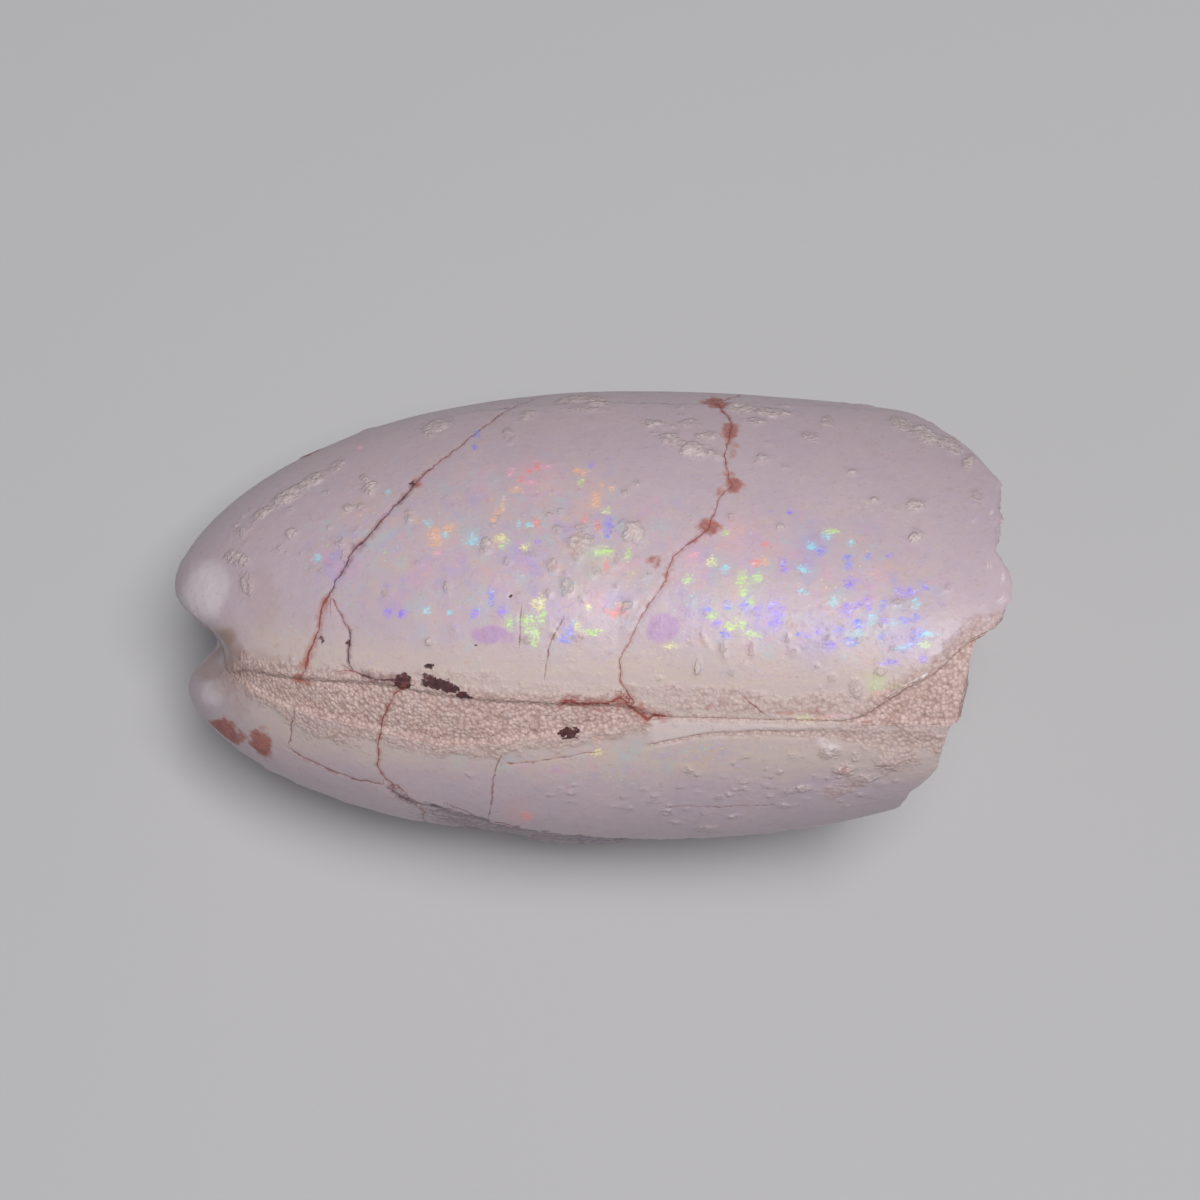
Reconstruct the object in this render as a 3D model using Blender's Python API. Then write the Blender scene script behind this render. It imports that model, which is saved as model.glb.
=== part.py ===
"""Opalised bivalve fossil: two closed valves around a sandstone filling, broken off behind.

The shell is drawn along three axes of its own. x runs from the beaks to the break, d points to
the hinge and n to the upper valve. It lies rolled about x, so that the hinge groove faces up and
to the front, on a worn flat under the lower valve. All sizes are in millimetres, and MM turns
them into metres when a mesh is made.
"""
import bmesh
import bpy
import numpy as np

MM = 0.001

# Main form, measured from the beaks
WIDEST_X = 25.4
BEAK_REACH = 26.0
HINGE_HEIGHT = 14.4
HINGE_RISE = 0.10
BELLY_DEPTH = 14.4
BELLY_REACH = 32.0
BELLY_FULLNESS = 0.9
BELLY_KEEL = 0.25
UPPER_THICKNESS = 13.0
UPPER_REACH = 37.0
LOWER_THICKNESS = 12.6
LOWER_REACH = 24.5
LOWER_FULLNESS = 0.93

# Walls and the gaps between the pieces
WALL = 1.9
GAP = 0.3
HALF_GAP = 0.5 * GAP
LEAST_INNER_SHARE = 0.35
GROOVE_DEPTH = 0.35
LEAST_OPENING = 0.08
LEAST_HALF_BAND = 0.2
OPENING_RUN = 0.2
CORE_DEPTH = WALL + GAP

# Notch between the beaks: how far it cuts back and sinks, where its middle runs, and how
# quickly it dies away
NOTCH_CUT = 3.0
NOTCH_SINK = 0.2
NOTCH_CENTRE_N = -0.77
NOTCH_SLANT = 0.22
NOTCH_HALF_WIDTH = 1.97
NOTCH_LENGTH = 3.4
NOTCH_CENTRE_D = 0.0
NOTCH_SPAN_D = 14.4
HINGE_DRIFT = 0.3

# Edges of the hinge groove: places along x, and the width from the seam to each lip
UPPER_LIP = ((3.4, 0.15), (4.8, 1.0), (8.3, 1.15), (12.5, 1.5), (17.3, 1.0), (25.6, 0.8),
             (27.6, 0.15), (37.3, 0.15), (38.3, 0.66), (40.1, 2.0), (41.5, 2.6), (43.2, 4.2),
             (45.1, 4.95))
LOWER_LIP = ((4.2, 0.15), (7.9, 1.0), (12.8, 1.55), (15.6, 2.1), (19.0, 1.8), (24.9, 0.75),
             (27.6, 0.15))
LIP_SMOOTHING = 0.5

# Broken edge: angles round from the hinge in degrees, and how far along x each piece reaches
UPPER_BREAK = ((0, 43.0), (8, 43.3), (21, 43.9), (27, 45.0), (34, 45.8), (52, 45.6), (68, 46.4),
               (79, 45.4), (88, 44.0), (105, 42.3), (122, 41.5), (145, 42.5), (165, 43.6),
               (180, 44.2))
LOWER_BREAK = ((0, 42.6), (8, 42.2), (32, 41.0), (60, 40.5), (90, 41.2), (125, 42.7), (155, 43.6),
               (180, 44.2))
CORE_END_INSET = 0.35
CORE_END_RELIEF = 0.55

# Shallow features of the outer faces: x, angle in degrees, length along x, width round, depth
UPPER_HOLLOWS = ((7.6, 71, 5.2, 1.6, 0.22), (29.5, 86, 3.4, 2.6, 0.25), (43.0, 84, 3.2, 3.0, 0.30))
LOWER_HOLLOWS = ((37.5, 34, 4.0, 2.2, 0.20), (9.0, 62, 4.5, 2.5, 0.20))

# How the fossil lies, and where its box stands about the origin
ROLL_DEGREES = 48.0
FLAT_DEPTH = 0.8
FLAT_WELD = 0.05
LOWEST_POINT = 13.27
BOX_CENTRE = (23.2, -0.01)

# Steps of the mesh
FRONT_STATIONS = 20
BACK_STATIONS = 19
FIRST_SHARE = 0.10
ARC_POINTS = 18
CORE_START_X = 3.8
CORE_FRONT_STATIONS = 15
CORE_BACK_STATIONS = 17
CORE_ARC_POINTS = 16
BAND_POINTS = 7
END_RINGS = (0.86, 0.66, 0.44, 0.22)
SMOOTH_ANGLE = 32.0


def along(points, x):
    """Read a list of (place, value) pairs at x, with its corners eased."""
    places, values = np.array(points, dtype=float).T
    steps = (-LIP_SMOOTHING, 0.0, LIP_SMOOTHING)
    return sum(np.interp(x + step, places, values) for step in steps) / len(steps)


def around(points, theta):
    """Read a list of (degrees, value) pairs at the angle theta."""
    degrees, values = np.array(points, dtype=float).T
    return np.interp(np.degrees(theta), degrees, values)


def taper(x, back_reach):
    """Height of a half ellipse that is 1 at the widest place and closes towards both ends."""
    reach = np.where(x < WIDEST_X, BEAK_REACH, back_reach)
    return np.sqrt(np.clip(1.0 - ((x - WIDEST_X) / reach) ** 2, 0.0, 1.0))


def half_sizes(x, side, depth):
    """Reach of a section towards the hinge, the belly and the side, at a depth in the wall."""
    belly_taper = taper(x, BELLY_REACH)
    hinge = HINGE_HEIGHT * np.where(x < WIDEST_X, belly_taper, 1.0)
    hinge = hinge + HINGE_RISE * np.clip(x - WIDEST_X, 0.0, None)
    belly = BELLY_DEPTH * belly_taper ** BELLY_FULLNESS
    if side > 0:
        thick = UPPER_THICKNESS * taper(x, UPPER_REACH)
    else:
        thick = LOWER_THICKNESS * taper(x, LOWER_REACH) ** LOWER_FULLNESS
    return [np.maximum(size - depth, LEAST_INNER_SHARE * size) if depth else size
            for size in (hinge, belly, thick)]


def section(x, theta, side, depth=0.0, half_gap=HALF_GAP):
    """Points (x, d, n) of one half section, theta running from the hinge round to the belly."""
    hinge, belly, thick = half_sizes(x, side, depth)
    cosine, sine = np.cos(theta), np.clip(np.sin(theta), 0.0, 1.0)
    d = np.where(cosine > 0.0, hinge, belly) * cosine
    power = np.where(cosine > 0.0, 1.0, 1.0 + BELLY_KEEL * cosine ** 2)
    n = side * (half_gap + np.clip(thick - half_gap, 0.0, None) * sine ** power)
    return np.stack(np.broadcast_arrays(x, d, n), axis=-1)


def angle_at(x, width, side, depth=0.0):
    """Angle at which a section stands at the given width from the seam."""
    thick = np.maximum(half_sizes(x, side, depth)[2], width + HALF_GAP)
    return np.arcsin(np.clip((width - HALF_GAP) / (thick - HALF_GAP), 0.0, 1.0))


def hollow_depth(points, theta, hollows):
    """Depth of the shallow worn hollows at points of an outer face."""
    depth = np.zeros(theta.shape)
    for x, degrees, length, width, deep in hollows:
        round_way = (theta - np.radians(degrees)) * HINGE_HEIGHT
        reach = ((points[..., 0] - x) / length) ** 2 + (round_way / width) ** 2
        depth = depth + deep * np.exp(-3.0 * reach)
    return depth


def sink_hollows(points, theta, hollows):
    """Lower the outer face into its hollows, towards the middle of the shell."""
    depth = hollow_depth(points, theta, hollows)
    outward = points * np.array([0.0, 1.0, 1.0])
    outward = outward / np.linalg.norm(outward, axis=-1, keepdims=True)
    return points - outward * depth[..., None]


def cut_notch(points):
    """Bend the space between the two beaks back and down, and drift the hinge line."""
    x, d, n = np.moveaxis(points, -1, 0)
    aside = n - NOTCH_CENTRE_N - NOTCH_SLANT * d
    between = np.exp(-(aside / NOTCH_HALF_WIDTH) ** 2)
    front = np.exp(-(np.clip(x, 0.0, None) / NOTCH_LENGTH) ** 2)
    level = np.exp(-((d - NOTCH_CENTRE_D) / NOTCH_SPAN_D) ** 2)
    above = 1.0 / (1.0 + np.exp(-(d + 1.0) / 1.5))
    return np.stack([x + NOTCH_CUT * between * front * level,
                     d - NOTCH_SINK * between * front * above,
                     n + HINGE_DRIFT * np.clip(d / HINGE_HEIGHT, 0.0, 1.0) ** 2], axis=-1)


def lay_down(points):
    """Turn shell points into world millimetres, rolled as the fossil lies."""
    x, d, n = np.moveaxis(cut_notch(points), -1, 0)
    roll = np.radians(ROLL_DEGREES)
    world_y = -np.cos(roll) * d + np.sin(roll) * n
    world_z = np.sin(roll) * d + np.cos(roll) * n + LOWEST_POINT - FLAT_DEPTH
    return np.stack([x - BOX_CENTRE[0], world_y - BOX_CENTRE[1], world_z], axis=-1)


def station_x(station, theta, broken_edge):
    """Place of a station along x: eased towards the beaks, stretched to the broken edge behind."""
    if station < FRONT_STATIONS:
        start = np.arcsin(FIRST_SHARE)
        angle = start + (np.pi / 2 - start) * station / FRONT_STATIONS
        return np.full(theta.shape, WIDEST_X - BEAK_REACH * np.cos(angle))
    share = (station - FRONT_STATIONS) / BACK_STATIONS
    return WIDEST_X + (around(broken_edge, theta) - WIDEST_X) * share


def valve_arc(station, side, lip, broken_edge, depth):
    """One arc of a valve from lip to belly edge, with each point's x and angle settled."""
    steps = np.linspace(0.0, 1.0, ARC_POINTS) ** 1.2
    theta = np.pi * steps
    for _ in range(6):
        x = station_x(station, theta, broken_edge)
        start = angle_at(x, along(lip, x), side, depth)
        theta = start + (np.pi - start) * steps
    return section(x, theta, side, depth), theta


def valve_rings(side, lip, broken_edge, hollows):
    """Closed rings of a valve: the outer arc, then the inner arc back to the lip."""
    rings = []
    for station in range(FRONT_STATIONS + BACK_STATIONS + 1):
        outside, theta = valve_arc(station, side, lip, broken_edge, 0.0)
        inside, _ = valve_arc(station, side, lip, broken_edge, WALL)
        outside = sink_hollows(outside, theta, hollows)
        rings.append(np.concatenate([outside, inside[::-1]]))
    return np.array(rings)


def lip_width(lip, side, x_of):
    """Half width of the groove band on one side of the seam, clear of that side's lip."""
    theta = 0.0
    for _ in range(6):
        x = x_of(theta, side)
        theta = angle_at(x, along(lip, x), side)
    return along(lip, x) - GAP


def band_point(width, x_of, opening):
    """A point of the groove band, as high above the filling's flank as the groove is open."""
    side = 1 if width >= 0.0 else -1
    reach = abs(width) + HALF_GAP
    x = x_of(0.0, side)
    x = x_of(angle_at(x, reach, side), side)
    low = section(x, angle_at(x, reach, side, CORE_DEPTH), side, CORE_DEPTH, 0.0)
    high = section(x, angle_at(x, reach, side), side, GROOVE_DEPTH, 0.0)
    return np.array([x, low[1] + opening * (high[1] - low[1]), width])


def core_ring(x_of):
    """One ring of the filling: the groove band, the upper flank, then the lower flank."""
    upper = lip_width(UPPER_LIP, 1, x_of)
    lower = lip_width(LOWER_LIP, -1, x_of)
    middle = 0.5 * (upper - lower)
    half_band = max(0.5 * (upper + lower), LEAST_HALF_BAND)
    opening = np.clip((half_band - LEAST_HALF_BAND) / OPENING_RUN, LEAST_OPENING, 1.0)
    widths = middle + half_band * np.linspace(-1.0, 1.0, BAND_POINTS)
    band = np.array([band_point(width, x_of, opening) for width in widths])
    flanks = []
    for side, width in ((1, widths[-1]), (-1, widths[0])):
        start = angle_at(x_of(0.0, side), abs(width) + HALF_GAP, side, CORE_DEPTH)
        theta = start + (np.pi - start) * np.linspace(0.0, 1.0, CORE_ARC_POINTS)
        flank = section(x_of(theta, side), theta, side, CORE_DEPTH, 0.0)
        flank[0] = band_point(width, x_of, 0.0)
        flanks.append(flank)
    return np.concatenate([band, flanks[0], flanks[1][-2::-1]])


def core_x(theta, side, station):
    """Place of a station of the filling along x, at the angle theta."""
    if station < CORE_FRONT_STATIONS:
        share = (station / CORE_FRONT_STATIONS) ** 1.1
        return CORE_START_X + (WIDEST_X - CORE_START_X) * share + 0.0 * theta
    share = (station - CORE_FRONT_STATIONS) / CORE_BACK_STATIONS
    edge = around(UPPER_BREAK if side > 0 else LOWER_BREAK, theta)
    return WIDEST_X + (edge - CORE_END_INSET - WIDEST_X) * share


def core_rings():
    """Rings of the filling from behind the beaks to the broken end."""
    stations = range(CORE_FRONT_STATIONS + CORE_BACK_STATIONS + 1)
    return np.array([core_ring(lambda theta, side, s=station: core_x(theta, side, s))
                     for station in stations])


def end_rings(ring):
    """Smaller rings that close the broken end of the filling with an uneven face."""
    centre = ring.mean(axis=0)
    turn = np.linspace(0.0, 2.0 * np.pi, len(ring), endpoint=False)
    rings = []
    for scale in END_RINGS:
        inner = centre + (ring - centre) * scale
        ripple = np.sin(3.0 * turn + 7.0 * scale) - scale * np.cos(5.0 * turn - 4.0 * scale)
        inner[:, 0] += CORE_END_RELIEF * (1.0 - scale) * ripple
        rings.append(inner)
    return np.array(rings)


def strips(first, second, count):
    """Quads between two rings of points, given where each ring starts in the list."""
    return [(first + j, second + j, second + (j + 1) % count, first + (j + 1) % count)
            for j in range(count)]


def arc_cap(start, count, turned):
    """Quads that close a valve's ring between its outer and its inner arc."""
    quads = [(start + j, start + j + 1, start + count - 2 - j, start + count - 1 - j)
             for j in range(count // 2 - 1)]
    return quads if turned else [quad[::-1] for quad in quads]


def wear_flat(mesh):
    """Cut the mesh off level with the floor, which leaves the flat that the fossil lies on."""
    shape = bmesh.new()
    shape.from_mesh(mesh)
    everything = shape.verts[:] + shape.edges[:] + shape.faces[:]
    cut = bmesh.ops.bisect_plane(shape, geom=everything, dist=1e-7, plane_co=(0.0, 0.0, 0.0),
                                 plane_no=(0.0, 0.0, 1.0), clear_inner=True)["geom_cut"]
    rim = [item for item in cut if isinstance(item, bmesh.types.BMVert)]
    for corner in rim:
        corner.co.z = 0.0
    bmesh.ops.remove_doubles(shape, verts=rim, dist=FLAT_WELD * MM)
    bmesh.ops.holes_fill(shape, edges=[edge for edge in shape.edges if edge.is_boundary])
    shape.to_mesh(mesh)
    shape.free()


def make_object(name, points, faces, material, worn=False):
    """A mesh object at the origin, its points given in world millimetres."""
    mesh = bpy.data.meshes.new(name)
    mesh.from_pydata((points * MM).tolist(), [], faces)
    if worn:
        wear_flat(mesh)
    mesh.materials.append(material)
    mesh.shade_smooth()
    mesh.set_sharp_from_angle(angle=np.radians(SMOOTH_ANGLE))
    mesh.validate()
    part = bpy.data.objects.new(name, mesh)
    bpy.context.scene.collection.objects.link(part)
    return part


def make_material(name, colour, roughness):
    """A plain opaque material."""
    material = bpy.data.materials.new(name)
    material.use_nodes = True
    shader = material.node_tree.nodes["Principled BSDF"]
    shader.inputs["Base Color"].default_value = (*colour, 1.0)
    shader.inputs["Roughness"].default_value = roughness
    shader.inputs["Metallic"].default_value = 0.0
    return material


def make_valve(name, side, lip, broken_edge, hollows, material):
    """One valve: a curved wall, open towards the filling and along the hinge groove."""
    rings = valve_rings(side, lip, broken_edge, hollows)
    ring_count, count = rings.shape[:2]
    faces = []
    for ring in range(ring_count - 1):
        faces += strips(ring * count, (ring + 1) * count, count)
    faces += arc_cap(0, count, True)
    faces += arc_cap((ring_count - 1) * count, count, False)
    if side < 0:
        faces = [face[::-1] for face in faces]
    return make_object(name, lay_down(rings.reshape(-1, 3)), faces, material, worn=side < 0)


def make_filling(name, material):
    """The sandstone between the valves, seen in the groove and at the broken end."""
    rings = core_rings()
    rings = np.concatenate([rings, end_rings(rings[-1])])
    ring_count, count = rings.shape[:2]
    points = np.concatenate([rings.reshape(-1, 3), rings[:1].mean(axis=1), rings[-1:].mean(axis=1)])
    faces = []
    for ring in range(ring_count - 1):
        faces += strips(ring * count, (ring + 1) * count, count)
    front, back = ring_count * count, ring_count * count + 1
    last = (ring_count - 1) * count
    for j in range(count):
        faces.append((front, j, (j + 1) % count))
        faces.append((back, last + (j + 1) % count, last + j))
    return make_object(name, lay_down(points), faces, material)


def main():
    """Clear the scene and make the three pieces."""
    for old in list(bpy.data.objects):
        bpy.data.objects.remove(old, do_unlink=True)
    opal = make_material("opalised_shell", (0.46, 0.38, 0.42), 0.38)
    opal_below = make_material("opalised_shell_lower", (0.43, 0.36, 0.40), 0.42)
    sandstone = make_material("sandstone", (0.42, 0.31, 0.26), 0.95)
    make_valve("upper_valve", 1, UPPER_LIP, UPPER_BREAK, UPPER_HOLLOWS, opal)
    make_valve("lower_valve", -1, LOWER_LIP, LOWER_BREAK, LOWER_HOLLOWS, opal_below)
    make_filling("sandstone_filling", sandstone)


main()
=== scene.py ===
import bpy
import numpy as np
from mathutils import Matrix, Vector


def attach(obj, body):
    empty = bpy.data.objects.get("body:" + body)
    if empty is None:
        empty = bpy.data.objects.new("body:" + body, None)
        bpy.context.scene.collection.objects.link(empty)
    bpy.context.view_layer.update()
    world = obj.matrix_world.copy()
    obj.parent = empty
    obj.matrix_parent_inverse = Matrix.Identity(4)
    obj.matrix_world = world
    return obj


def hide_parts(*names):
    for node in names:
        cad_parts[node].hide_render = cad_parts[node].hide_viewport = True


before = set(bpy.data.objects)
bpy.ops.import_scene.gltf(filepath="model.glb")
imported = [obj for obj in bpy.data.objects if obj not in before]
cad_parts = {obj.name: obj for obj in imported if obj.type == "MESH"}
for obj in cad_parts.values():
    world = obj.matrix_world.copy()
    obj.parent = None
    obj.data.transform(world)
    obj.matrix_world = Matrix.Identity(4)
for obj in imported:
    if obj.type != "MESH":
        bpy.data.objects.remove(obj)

MM = 0.001

# Seeds of the noises and of the random marks
TEETH_SEED = 41
RAGGED_SEED = 51
FINE_SEED = 61
WOBBLE_SEED = 71
CROOKED_SEEDS = (73, 75)
FAR_FLAKE_SEED = 81
FAR_RUST_SEED = 82
SMALL_FLAKE_SEED = 83
FAR_BEND_SEEDS = (91, 93)
UNDULATION_SEED = 101
SURFACE_SEED = 104
LUMP_SEED = 105
FILM_SEED = 106
FAR_FIRE_SEED = 111
CHIP_SEED = 121
GRAIN_SEED = 131
CLUMP_SEED = 136
END_SEED = 138

# Main form of the shell. x runs from the beaks to the break, d to the hinge, n to the upper valve.
WIDEST_X = 25.4
BEAK_REACH = 26.0
HINGE_HEIGHT = 14.4
HINGE_RISE = 0.10
BELLY_DEPTH = 14.4
BELLY_REACH = 32.0
BELLY_FULLNESS = 0.9
BELLY_KEEL = 0.25
UPPER_THICKNESS = 13.0
UPPER_REACH = 37.0
LOWER_THICKNESS = 12.6
LOWER_REACH = 24.5
LOWER_FULLNESS = 0.93
WALL = 1.9
SEAM_HALF_GAP = 0.02
LEAST_INNER_SHARE = 0.35
NOTCH_CUT = 3.0
NOTCH_SINK = 0.2
NOTCH_CENTRE_N = -0.77
NOTCH_SLANT = 0.22
NOTCH_HALF_WIDTH = 1.97
NOTCH_LENGTH = 3.4
NOTCH_CENTRE_D = 0.0
NOTCH_SPAN_D = 14.4
NOTCH_TOP = -1.0
NOTCH_TOP_EASE = 1.5
HINGE_DRIFT = 0.3
# Place along x, and width from the seam to each valve's lip
UPPER_LIP = ((3.4, 0.03), (4.8, 0.9), (8.3, 1.1), (12.5, 1.45), (17.3, 0.95), (25.6, 0.75),
             (27.6, 0.03), (37.3, 0.03), (38.3, 0.62), (40.1, 2.0), (41.5, 2.6), (43.2, 4.2),
             (45.1, 4.95))
LOWER_LIP = ((4.2, 0.03), (7.9, 0.95), (12.8, 1.5), (15.6, 2.05), (19.0, 1.75), (24.9, 0.7),
             (27.6, 0.03))
LIP_SMOOTHING = 0.5
# Degrees round the section from the hinge to the belly, and place along x of the broken edge
UPPER_BREAK = ((0, 43.0), (8, 43.3), (21, 43.9), (27, 45.0), (34, 45.8), (41, 45.8), (46, 45.3),
               (52, 45.5), (60, 45.9), (68, 46.4), (79, 45.4), (88, 44.0), (105, 42.3),
               (122, 41.5), (145, 42.5), (165, 43.6), (180, 44.2))
LOWER_BREAK = ((0, 42.6), (8, 42.2), (20, 41.9), (32, 41.0), (60, 40.5), (90, 41.2), (125, 42.7),
               (155, 43.6), (180, 44.2))
TEETH = ((0.16, 1.1), (0.07, 0.4))
TEETH_APART = 7.0
# How the fossil lies: its roll, and its axis above the floor after the worn flat is taken off
ROLL_DEGREES = 48.0
LOWEST_POINT = 13.27
FLAT_DEPTH = 0.8
LIFT = LOWEST_POINT - FLAT_DEPTH
BOX_CENTRE = (23.2, -0.01)

# The photograph's camera, about the middle of the shell's axis
PHOTO_PIXELS = 1200
CAMERA_ELEVATION = 70.0
CAMERA_TURN = -1.0
CAMERA_DISTANCE = 140.0
PIXEL_SIZE = 0.058
AXIS_MIDDLE_X = 24.5
AIM_RISE = 1.0
SENSOR_WIDTH = 36.0

# Steps of the fine meshes
FIRST_SHARE = 0.02
FRONT_ROWS = 200
BACK_ROWS = 132
ARC_COLUMNS = 232
NEAR_COLUMNS = 0.78
NEAR_SPACING = 1.12
UPPER_NEAR_SHARE = 0.60
LOWER_NEAR_SHARE = 0.50
ARC_ROUNDS = 6
OUTLINE_STEPS = 2000
RIM_ROWS = 5
INNER_STEP = 8
FILL_FRONT_ROWS = 250
FILL_BACK_ROWS = 200
BAND_COLUMNS = 66
FLANK_COLUMNS = 30
END_ROWS = 40
FILL_SPACING = 1.05
FILL_ROUNDS = 4


def along(points, x):
    """Read a list of (place, value) pairs at x, with its corners eased."""
    places, values = np.array(points, dtype=float).T
    steps = (-LIP_SMOOTHING, 0.0, LIP_SMOOTHING)
    return sum(np.interp(x + step, places, values) for step in steps) / len(steps)


def around(points, theta):
    """Read a list of (degrees, value) pairs at the angle theta."""
    degrees, values = np.array(points, dtype=float).T
    return np.interp(np.degrees(theta), degrees, values)


def smoothstep(low, high, value):
    """Ease from 0 at low to 1 at high."""
    share = np.clip((value - low) / (high - low), 0.0, 1.0)
    return share * share * (3.0 - 2.0 * share)


# Noise on lattices, the same on every run
def hashed(cells, seed):
    """A number from 0 to 1 for each whole-number cell (rows of three)."""
    cells = cells.astype(np.int64)
    mixed = cells[..., 0] * 374761393 + cells[..., 1] * 668265263 + cells[..., 2] * 2147483629
    mixed = (mixed + seed * 1274126177) & 0xFFFFFFFF
    mixed = ((mixed ^ (mixed >> 13)) * 1274126177) & 0xFFFFFFFF
    mixed = ((mixed ^ (mixed >> 16)) * 2246822519) & 0xFFFFFFFF
    return ((mixed ^ (mixed >> 15)) & 0xFFFFFF) / float(0xFFFFFF)


def value_noise(points, size, seed):
    """Smooth noise from -1 to 1, its bumps about size millimetres apart."""
    scaled = points / size
    cell = np.floor(scaled)
    part = scaled - cell
    part = part * part * (3.0 - 2.0 * part)
    total = np.zeros(points.shape[:-1])
    for corner in np.ndindex(2, 2, 2):
        offset = np.array(corner)
        weight = np.prod(np.where(offset, part, 1.0 - part), axis=-1)
        total = total + weight * hashed(cell + offset, seed)
    return 2.0 * total - 1.0


def drift(points, size, seed):
    """Two noises at once, for pushing places about in two directions."""
    return np.stack([value_noise(points, size, seed + k) for k in range(2)], axis=-1)


def layered_noise(points, size, seed, layers=4):
    """Noise with finer and weaker layers added."""
    total, strength = 0.0, 0.5
    for layer in range(layers):
        total = total + strength * value_noise(points, size / 2.0 ** layer, seed + layer)
        strength *= 0.55
    return total


def cell_distance(points, size, seed):
    """Distance to the nearest of the scattered grain centres, in parts of size, and its hash."""
    scaled = points / size
    cell = np.floor(scaled)
    nearest = np.full(points.shape[:-1], 9.0)
    tint = np.zeros(points.shape[:-1])
    for corner in np.ndindex(3, 3, 3):
        other = cell + np.array(corner) - 1
        jitter = np.stack([hashed(other, seed + k) for k in range(3)], axis=-1)
        gap = np.linalg.norm(other + jitter - scaled, axis=-1)
        closer = gap < nearest
        tint = np.where(closer, jitter[..., 0], tint)
        nearest = np.where(closer, gap, nearest)
    return nearest, tint


# The form of the solids, with a narrower gap at the seam
def taper(x, back_reach):
    """Height of a half ellipse that is 1 at the widest place and closes towards both ends."""
    reach = np.where(x < WIDEST_X, BEAK_REACH, back_reach)
    return np.sqrt(np.clip(1.0 - ((x - WIDEST_X) / reach) ** 2, 0.0, 1.0))


def half_sizes(x, side, depth):
    """Reach of a section towards the hinge, the belly and the side, at a depth in the wall."""
    belly_taper = taper(x, BELLY_REACH)
    hinge = HINGE_HEIGHT * np.where(x < WIDEST_X, belly_taper, 1.0)
    hinge = hinge + HINGE_RISE * np.clip(x - WIDEST_X, 0.0, None)
    belly = BELLY_DEPTH * belly_taper ** BELLY_FULLNESS
    if side > 0:
        thick = UPPER_THICKNESS * taper(x, UPPER_REACH)
    else:
        thick = LOWER_THICKNESS * taper(x, LOWER_REACH) ** LOWER_FULLNESS
    return [np.maximum(size - depth, LEAST_INNER_SHARE * size) if depth else size
            for size in (hinge, belly, thick)]


def section(x, theta, side, depth=0.0, half_gap=SEAM_HALF_GAP):
    """Points (x, d, n) of one half section, theta running from the hinge round to the belly."""
    hinge, belly, thick = half_sizes(x, side, depth)
    cosine, sine = np.cos(theta), np.clip(np.sin(theta), 0.0, 1.0)
    d = np.where(cosine > 0.0, hinge, belly) * cosine
    power = np.where(cosine > 0.0, 1.0, 1.0 + BELLY_KEEL * cosine ** 2)
    n = side * (half_gap + np.clip(thick - half_gap, 0.0, None) * sine ** power)
    return np.stack(np.broadcast_arrays(x, d, n), axis=-1)


def angle_at(x, width, side, depth=0.0):
    """Angle at which a section stands at the given width from the seam."""
    thick = np.maximum(half_sizes(x, side, depth)[2], width + SEAM_HALF_GAP)
    return np.arcsin(np.clip((width - SEAM_HALF_GAP) / (thick - SEAM_HALF_GAP), 0.0, 1.0))


def cut_notch(points):
    """Bend the space between the two beaks back and down, and drift the hinge line."""
    x, d, n = np.moveaxis(points, -1, 0)
    aside = n - NOTCH_CENTRE_N - NOTCH_SLANT * d
    between = np.exp(-(aside / NOTCH_HALF_WIDTH) ** 2)
    front = np.exp(-(np.clip(x, 0.0, None) / NOTCH_LENGTH) ** 2)
    level = np.exp(-((d - NOTCH_CENTRE_D) / NOTCH_SPAN_D) ** 2)
    above = 1.0 / (1.0 + np.exp(-(d - NOTCH_TOP) / NOTCH_TOP_EASE))
    return np.stack([x + NOTCH_CUT * between * front * level,
                     d - NOTCH_SINK * between * front * above,
                     n + HINGE_DRIFT * np.clip(d / HINGE_HEIGHT, 0.0, 1.0) ** 2], axis=-1)


def lay_down(points):
    """Turn shell points into world millimetres, rolled as the fossil lies."""
    x, d, n = np.moveaxis(cut_notch(points), -1, 0)
    roll = np.radians(ROLL_DEGREES)
    world_y = -np.cos(roll) * d + np.sin(roll) * n
    world_z = np.sin(roll) * d + np.cos(roll) * n + LIFT
    return np.stack([x - BOX_CENTRE[0], world_y - BOX_CENTRE[1], world_z], axis=-1)


# The camera, and where a point of the object stands in the photograph
def camera_axes():
    """The camera's right, up and backward directions."""
    turn, lift = np.radians(CAMERA_TURN), np.radians(CAMERA_ELEVATION)
    right = np.array([np.cos(turn), np.sin(turn), 0.0])
    back = np.array([np.sin(turn) * np.cos(lift), -np.cos(turn) * np.cos(lift), np.sin(lift)])
    return right, np.cross(back, right), back


def camera_aim():
    """The point that stands in the middle of the photograph."""
    middle = lay_down(np.array([AXIS_MIDDLE_X, 0.0, 0.0])[None])[0]
    return middle + AIM_RISE * camera_axes()[1]


def photo_pixels(points):
    """Pixel of the photograph in which each point stands."""
    right, up, back = camera_axes()
    offset = points - camera_aim()
    scale = CAMERA_DISTANCE / PIXEL_SIZE / (CAMERA_DISTANCE - offset @ back)
    middle = 0.5 * PHOTO_PIXELS
    return np.stack([middle + scale * (offset @ right), middle - scale * (offset @ up)], axis=-1)


def facing_photo(points, normals):
    """Cosine between each point's normal and the direction to the photograph's camera."""
    to_camera = camera_aim() + CAMERA_DISTANCE * camera_axes()[2] - points
    to_camera = to_camera / np.linalg.norm(to_camera, axis=-1, keepdims=True)
    return np.sum(normals * to_camera, axis=-1)


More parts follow.
